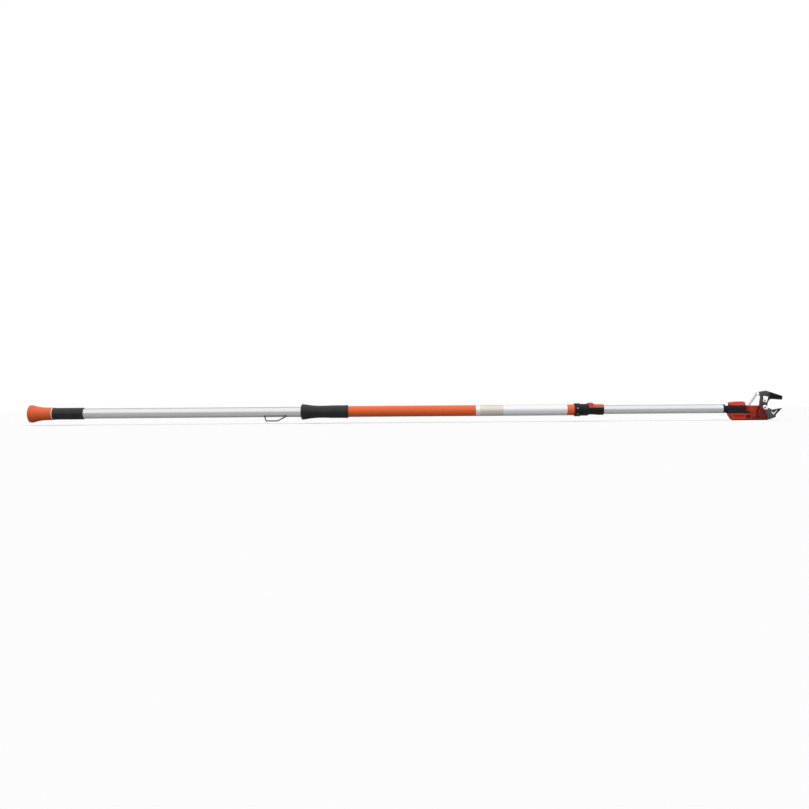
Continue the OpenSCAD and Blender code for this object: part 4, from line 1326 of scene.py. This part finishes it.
# %% Back half, its screws and bolts
FOOT_SCREWS = ((24, -19), (38, -19))
JAW_BOLTS = ((119, -14), (123.5, -25.5))
JAW_BOSS_RADIUS = 4.6
JAW_BOSS_TOP = CASING_HALF + CHEEK_RISE
CASING_SCREW = {"radius": 3.5, "height": 1.8, "socket": 1.7}
SCREW_SINK = 0.2
back_shells = casing_half([POCKET, GROOVE], JAW_SIDE)
back_shells += [hub(place, JAW_BOSS_RADIUS, WALL_IN, JAW_BOSS_TOP, 0.5) for place in JAW_BOLTS]
fit_head("casing_back_moulded", back_shells, head_orange, "head", "orange_plastic", "casing_back")
for name, places, seat, node in (
        ("casing_screw_heads", FOOT_SCREWS, CASING_HALF, "casing_screws"),
        ("jaw_bolt_heads", JAW_BOLTS, JAW_BOSS_TOP, "jaw_bolts")):
    heads = [
        aim(screw_head(**CASING_SCREW), (HEAD + x, seat - SCREW_SINK, z), (0, 1, 0)) for x, z in places]
    fit(name, heads, zinc_steel, "head", "bright_steel", node)


# %% [markdown]
# ## Lower jaw
# The fixed jaw is a thick dark plate with a pointed tip and a V-shaped slot. The slot is a hole loop
# in the outline, so the fill leaves it open and the extrusion gives it walls.

# %% Lower jaw
JAW_Y = (0.3, 6.3)
jaw_outline = [
    (111.5, -31.5, 2.0), (128, -32.2, 1.0), (135, -34, 3.0), (143, -32.5, 3.0), (160.5, -26.5, 2.0),
    (160.5, -19.5, 2.0), (180, 0.8, 0.4), (164, -1.8, 2.0), (148, -4.3, 3.0), (141, 1.8, 1.5),
    (135, -4.4, 2.5), (132.4, -2, 1.0), (132.2, 10.2, 6.9), (117.8, 10.2, 6.9), (117, -1, 2.0),
    (111.5, -9, 2.0)]
jaw_slot = [
    (146.8, -10.0, 0.8), (154.6, -20.2, 1.0), (167.0, -5.4, 0.6), (163.0, -5.2, 0.6),
    (154.7, -14.2, 0.8), (151.0, -9.6, 0.8)]
lower_jaw = ease(slab(jaw_outline, *JAW_Y, [jaw_slot]), 0.35)
fit_head("lower_jaw_forged", [lower_jaw], jaw_steel, "head", "dark_steel", "lower_jaw")


# %% [markdown]
# ## Blade, plate and link
# The blade is one dark plate: an eye for the link, a neck, a round hub on the pivot and a cutting
# arm. Its edges are eased, and the cutting edge gets a wide flat, which is the ground bevel. A bright
# plate is riveted on the neck, and a grey link ties the eye to the carriage.

# %% Blade
BLADE_Y = (-4.7, 0.0)
blade_outline = [
    (98.6, 48.9, 4.2), (107.0, 49.6, 1.5), (129.7, 53.5, 3.0), (179, 37, 2.0), (179, 25, 1.0),
    (142, 28, 4.0), (135.8, 20, 4.0), (133.2, 8, 2.0), (132.8, -4.6, 7.4), (117.2, -4.6, 7.4),
    (109.0, 8.2, 2.0), (111.6, 27, 3.0), (113.4, 38.4, 2.5), (98.6, 40.1, 4.2)]
EDGE_FROM = 146.0
EDGE_UNDER = 29.0
GROUND_RISE = 4.0

blade = slab(blade_outline, *BLADE_Y)
ground = [
    vert for vert in blade.verts
    if vert.co.y < BLADE_Y[0] / 2 and vert.co.x > EDGE_FROM and vert.co.z < EDGE_UNDER]
bmesh.ops.translate(blade, verts=ground, vec=(0, 0, GROUND_RISE))
ease(blade, 0.45)
fit_head("blade_forged", [blade], blade_steel, "blade", "dark_steel", "blade")
print("ground edge vertices:", len(ground))

# %% Pivot bolt
PIVOT_AT = (HEAD + 125, 3)
PIVOT_SEAT = -5.0
PIVOT_HEAD = {"radius": 6.6, "height": 3.4, "socket": 2.9}
PIVOT_RADIUS = 3.9
PIVOT_Y = (PIVOT_SEAT - 0.5, 9.0)
SOCKET_RADIUS = 2.75
SOCKET_Y = (PIVOT_SEAT - 2.1, PIVOT_SEAT - 1.0)
pivot_head = aim(screw_head(**PIVOT_HEAD), (PIVOT_AT[0], PIVOT_SEAT, PIVOT_AT[1]), (0, -1, 0))
pivot_shank = hub(PIVOT_AT, PIVOT_RADIUS, *PIVOT_Y, 0.2)
fit("pivot_bolt_head", [pivot_head, pivot_shank], bright_chrome, "head", "bright_steel", "pivot_bolt")
# Painted shade: a dark disc over the floor of the pivot bolt's socket.
socket_shade_disc = hub(PIVOT_AT, SOCKET_RADIUS, *SOCKET_Y, 0.1)
fit("pivot_socket_shade", [socket_shade_disc], hanger_coat, "head", "dark_steel")

# %% Plate and rivets
PLATE_Y = (-5.5, -4.73)
RIVET_RADIUS = 2.3
RIVET_Y = (-6.2, -5.4)
plate_outline = [(120.6, 20.6, 1.8), (131.2, 18, 1.8), (136.6, 34, 2.2), (121.6, 37, 2.2)]
plate = ease(slab(plate_outline, *PLATE_Y), 0.25)
fit_head("blade_plate_stamped", [plate], bright_chrome, "blade", "bright_steel", "blade_plate")
low_rivet, high_rivet = (
    hub(place, RIVET_RADIUS, *RIVET_Y, 0.35) for place in ((HEAD + 126, 23.5), (HEAD + 132.5, 31)))
fit("plate_rivet_low", [low_rivet], jaw_steel, "blade", "bright_steel", "plate_rivets")
fit("plate_rivet_high", [high_rivet], bright_chrome, "blade", "bright_steel")

# %% Link
LINK_LOW = Vector((59.3, 0, -18.0))
LINK_TOP = Vector((103.0, 0, 44.5))
LINK_Y = (-8.2, -5.2)
EYE = 5.0
EYE_ROUND = 4.8
NECK_FROM, NECK_TO = 3.0, 7.5
BAR_UP, BAR_DOWN = 4.7, 1.9
link_length = (LINK_TOP - LINK_LOW).length


def link_side(bar):
    """One long side of the link, from its low eye to its top eye."""
    return [
        (-EYE, EYE, EYE_ROUND), (NECK_FROM, EYE, 2.0), (NECK_TO, bar, 2.0),
        (link_length - NECK_TO, bar, 2.0), (link_length - NECK_FROM, EYE, 2.0),
        (link_length + EYE, EYE, EYE_ROUND)]


under_side = [(x, -z, setback) for x, z, setback in reversed(link_side(BAR_DOWN))]
link = ease(slab(link_side(BAR_UP) + under_side, *LINK_Y), 0.35)
link_rise = math.atan2(LINK_TOP.z - LINK_LOW.z, LINK_TOP.x - LINK_LOW.x)
bmesh.ops.rotate(link, verts=link.verts, cent=(0, 0, 0), matrix=Matrix.Rotation(-link_rise, 3, "Y"))
bmesh.ops.translate(link, verts=link.verts, vec=LINK_LOW)
fit_head("link_stamped", [link], link_steel, "link", "bright_steel", "link")


# %% [markdown]
# ## Return spring
# A coil spring in the upper tube opens the blade again when the hand lets go. A circle of wire is
# spun about the pole, and each step of the spin also moves it along. The end turns lie close together
# and are ground flat. The rod's collar presses the coil against the stem plug as the rod moves; the
# coil here keeps its rest shape, and only the share of its length that it keeps when pressed is worked
# out.

# %% Return spring
spring_low, spring_high = span("return_spring")
COIL_WIRE = 0.95
END_TURNS, FREE_TURNS = 1.25, 12
TURN_STEPS = 24
COIL_SIDES = 10
COIL_GAP = 0.1
coil_radius = spring_high.z - COIL_WIRE
coil_length = spring_high.x - spring_low.x
end_pitch = 2 * COIL_WIRE + COIL_GAP
free_pitch = (coil_length - 2 * END_TURNS * end_pitch) / FREE_TURNS


def wound(mesh, rim, turns, pitch):
    """Winds a wire's rim on about the pole, and returns the new rim."""
    spun = bmesh.ops.spin(
        mesh, geom=rim, cent=(0, 0, 0), axis=(1, 0, 0), dvec=(pitch / TURN_STEPS, 0, 0),
        angle=2 * math.pi * turns, steps=round(turns * TURN_STEPS), use_merge=False)
    return spun["geom_last"]


coil = bmesh.new()
upright = Matrix.Rotation(math.radians(90), 4, "X")
bmesh.ops.create_circle(
    coil, segments=COIL_SIDES, radius=COIL_WIRE,
    matrix=Matrix.Translation((spring_low.x, 0, coil_radius)) @ upright)
rim = coil.verts[:] + coil.edges[:]
for turns, pitch in ((END_TURNS, end_pitch), (FREE_TURNS, free_pitch), (END_TURNS, end_pitch)):
    rim = wound(coil, rim, turns, pitch)
for end, out in ((spring_low.x, -1), (spring_high.x, 1)):
    cut(coil, (end, 0, 0), (out, 0, 0))
spring = fit("return_spring_coil", [capped(coil)], zinc_steel, "upper", "bright_steel", "return_spring")
rod_push = next(joint for joint in frame["joints"] if joint["name"] == "rod_push")
pressed_share = 1 - rod_push["range_m"][1] / (coil_length * MM)
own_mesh(spring)
print("spring keeps", round(pressed_share, 2), "of its length")
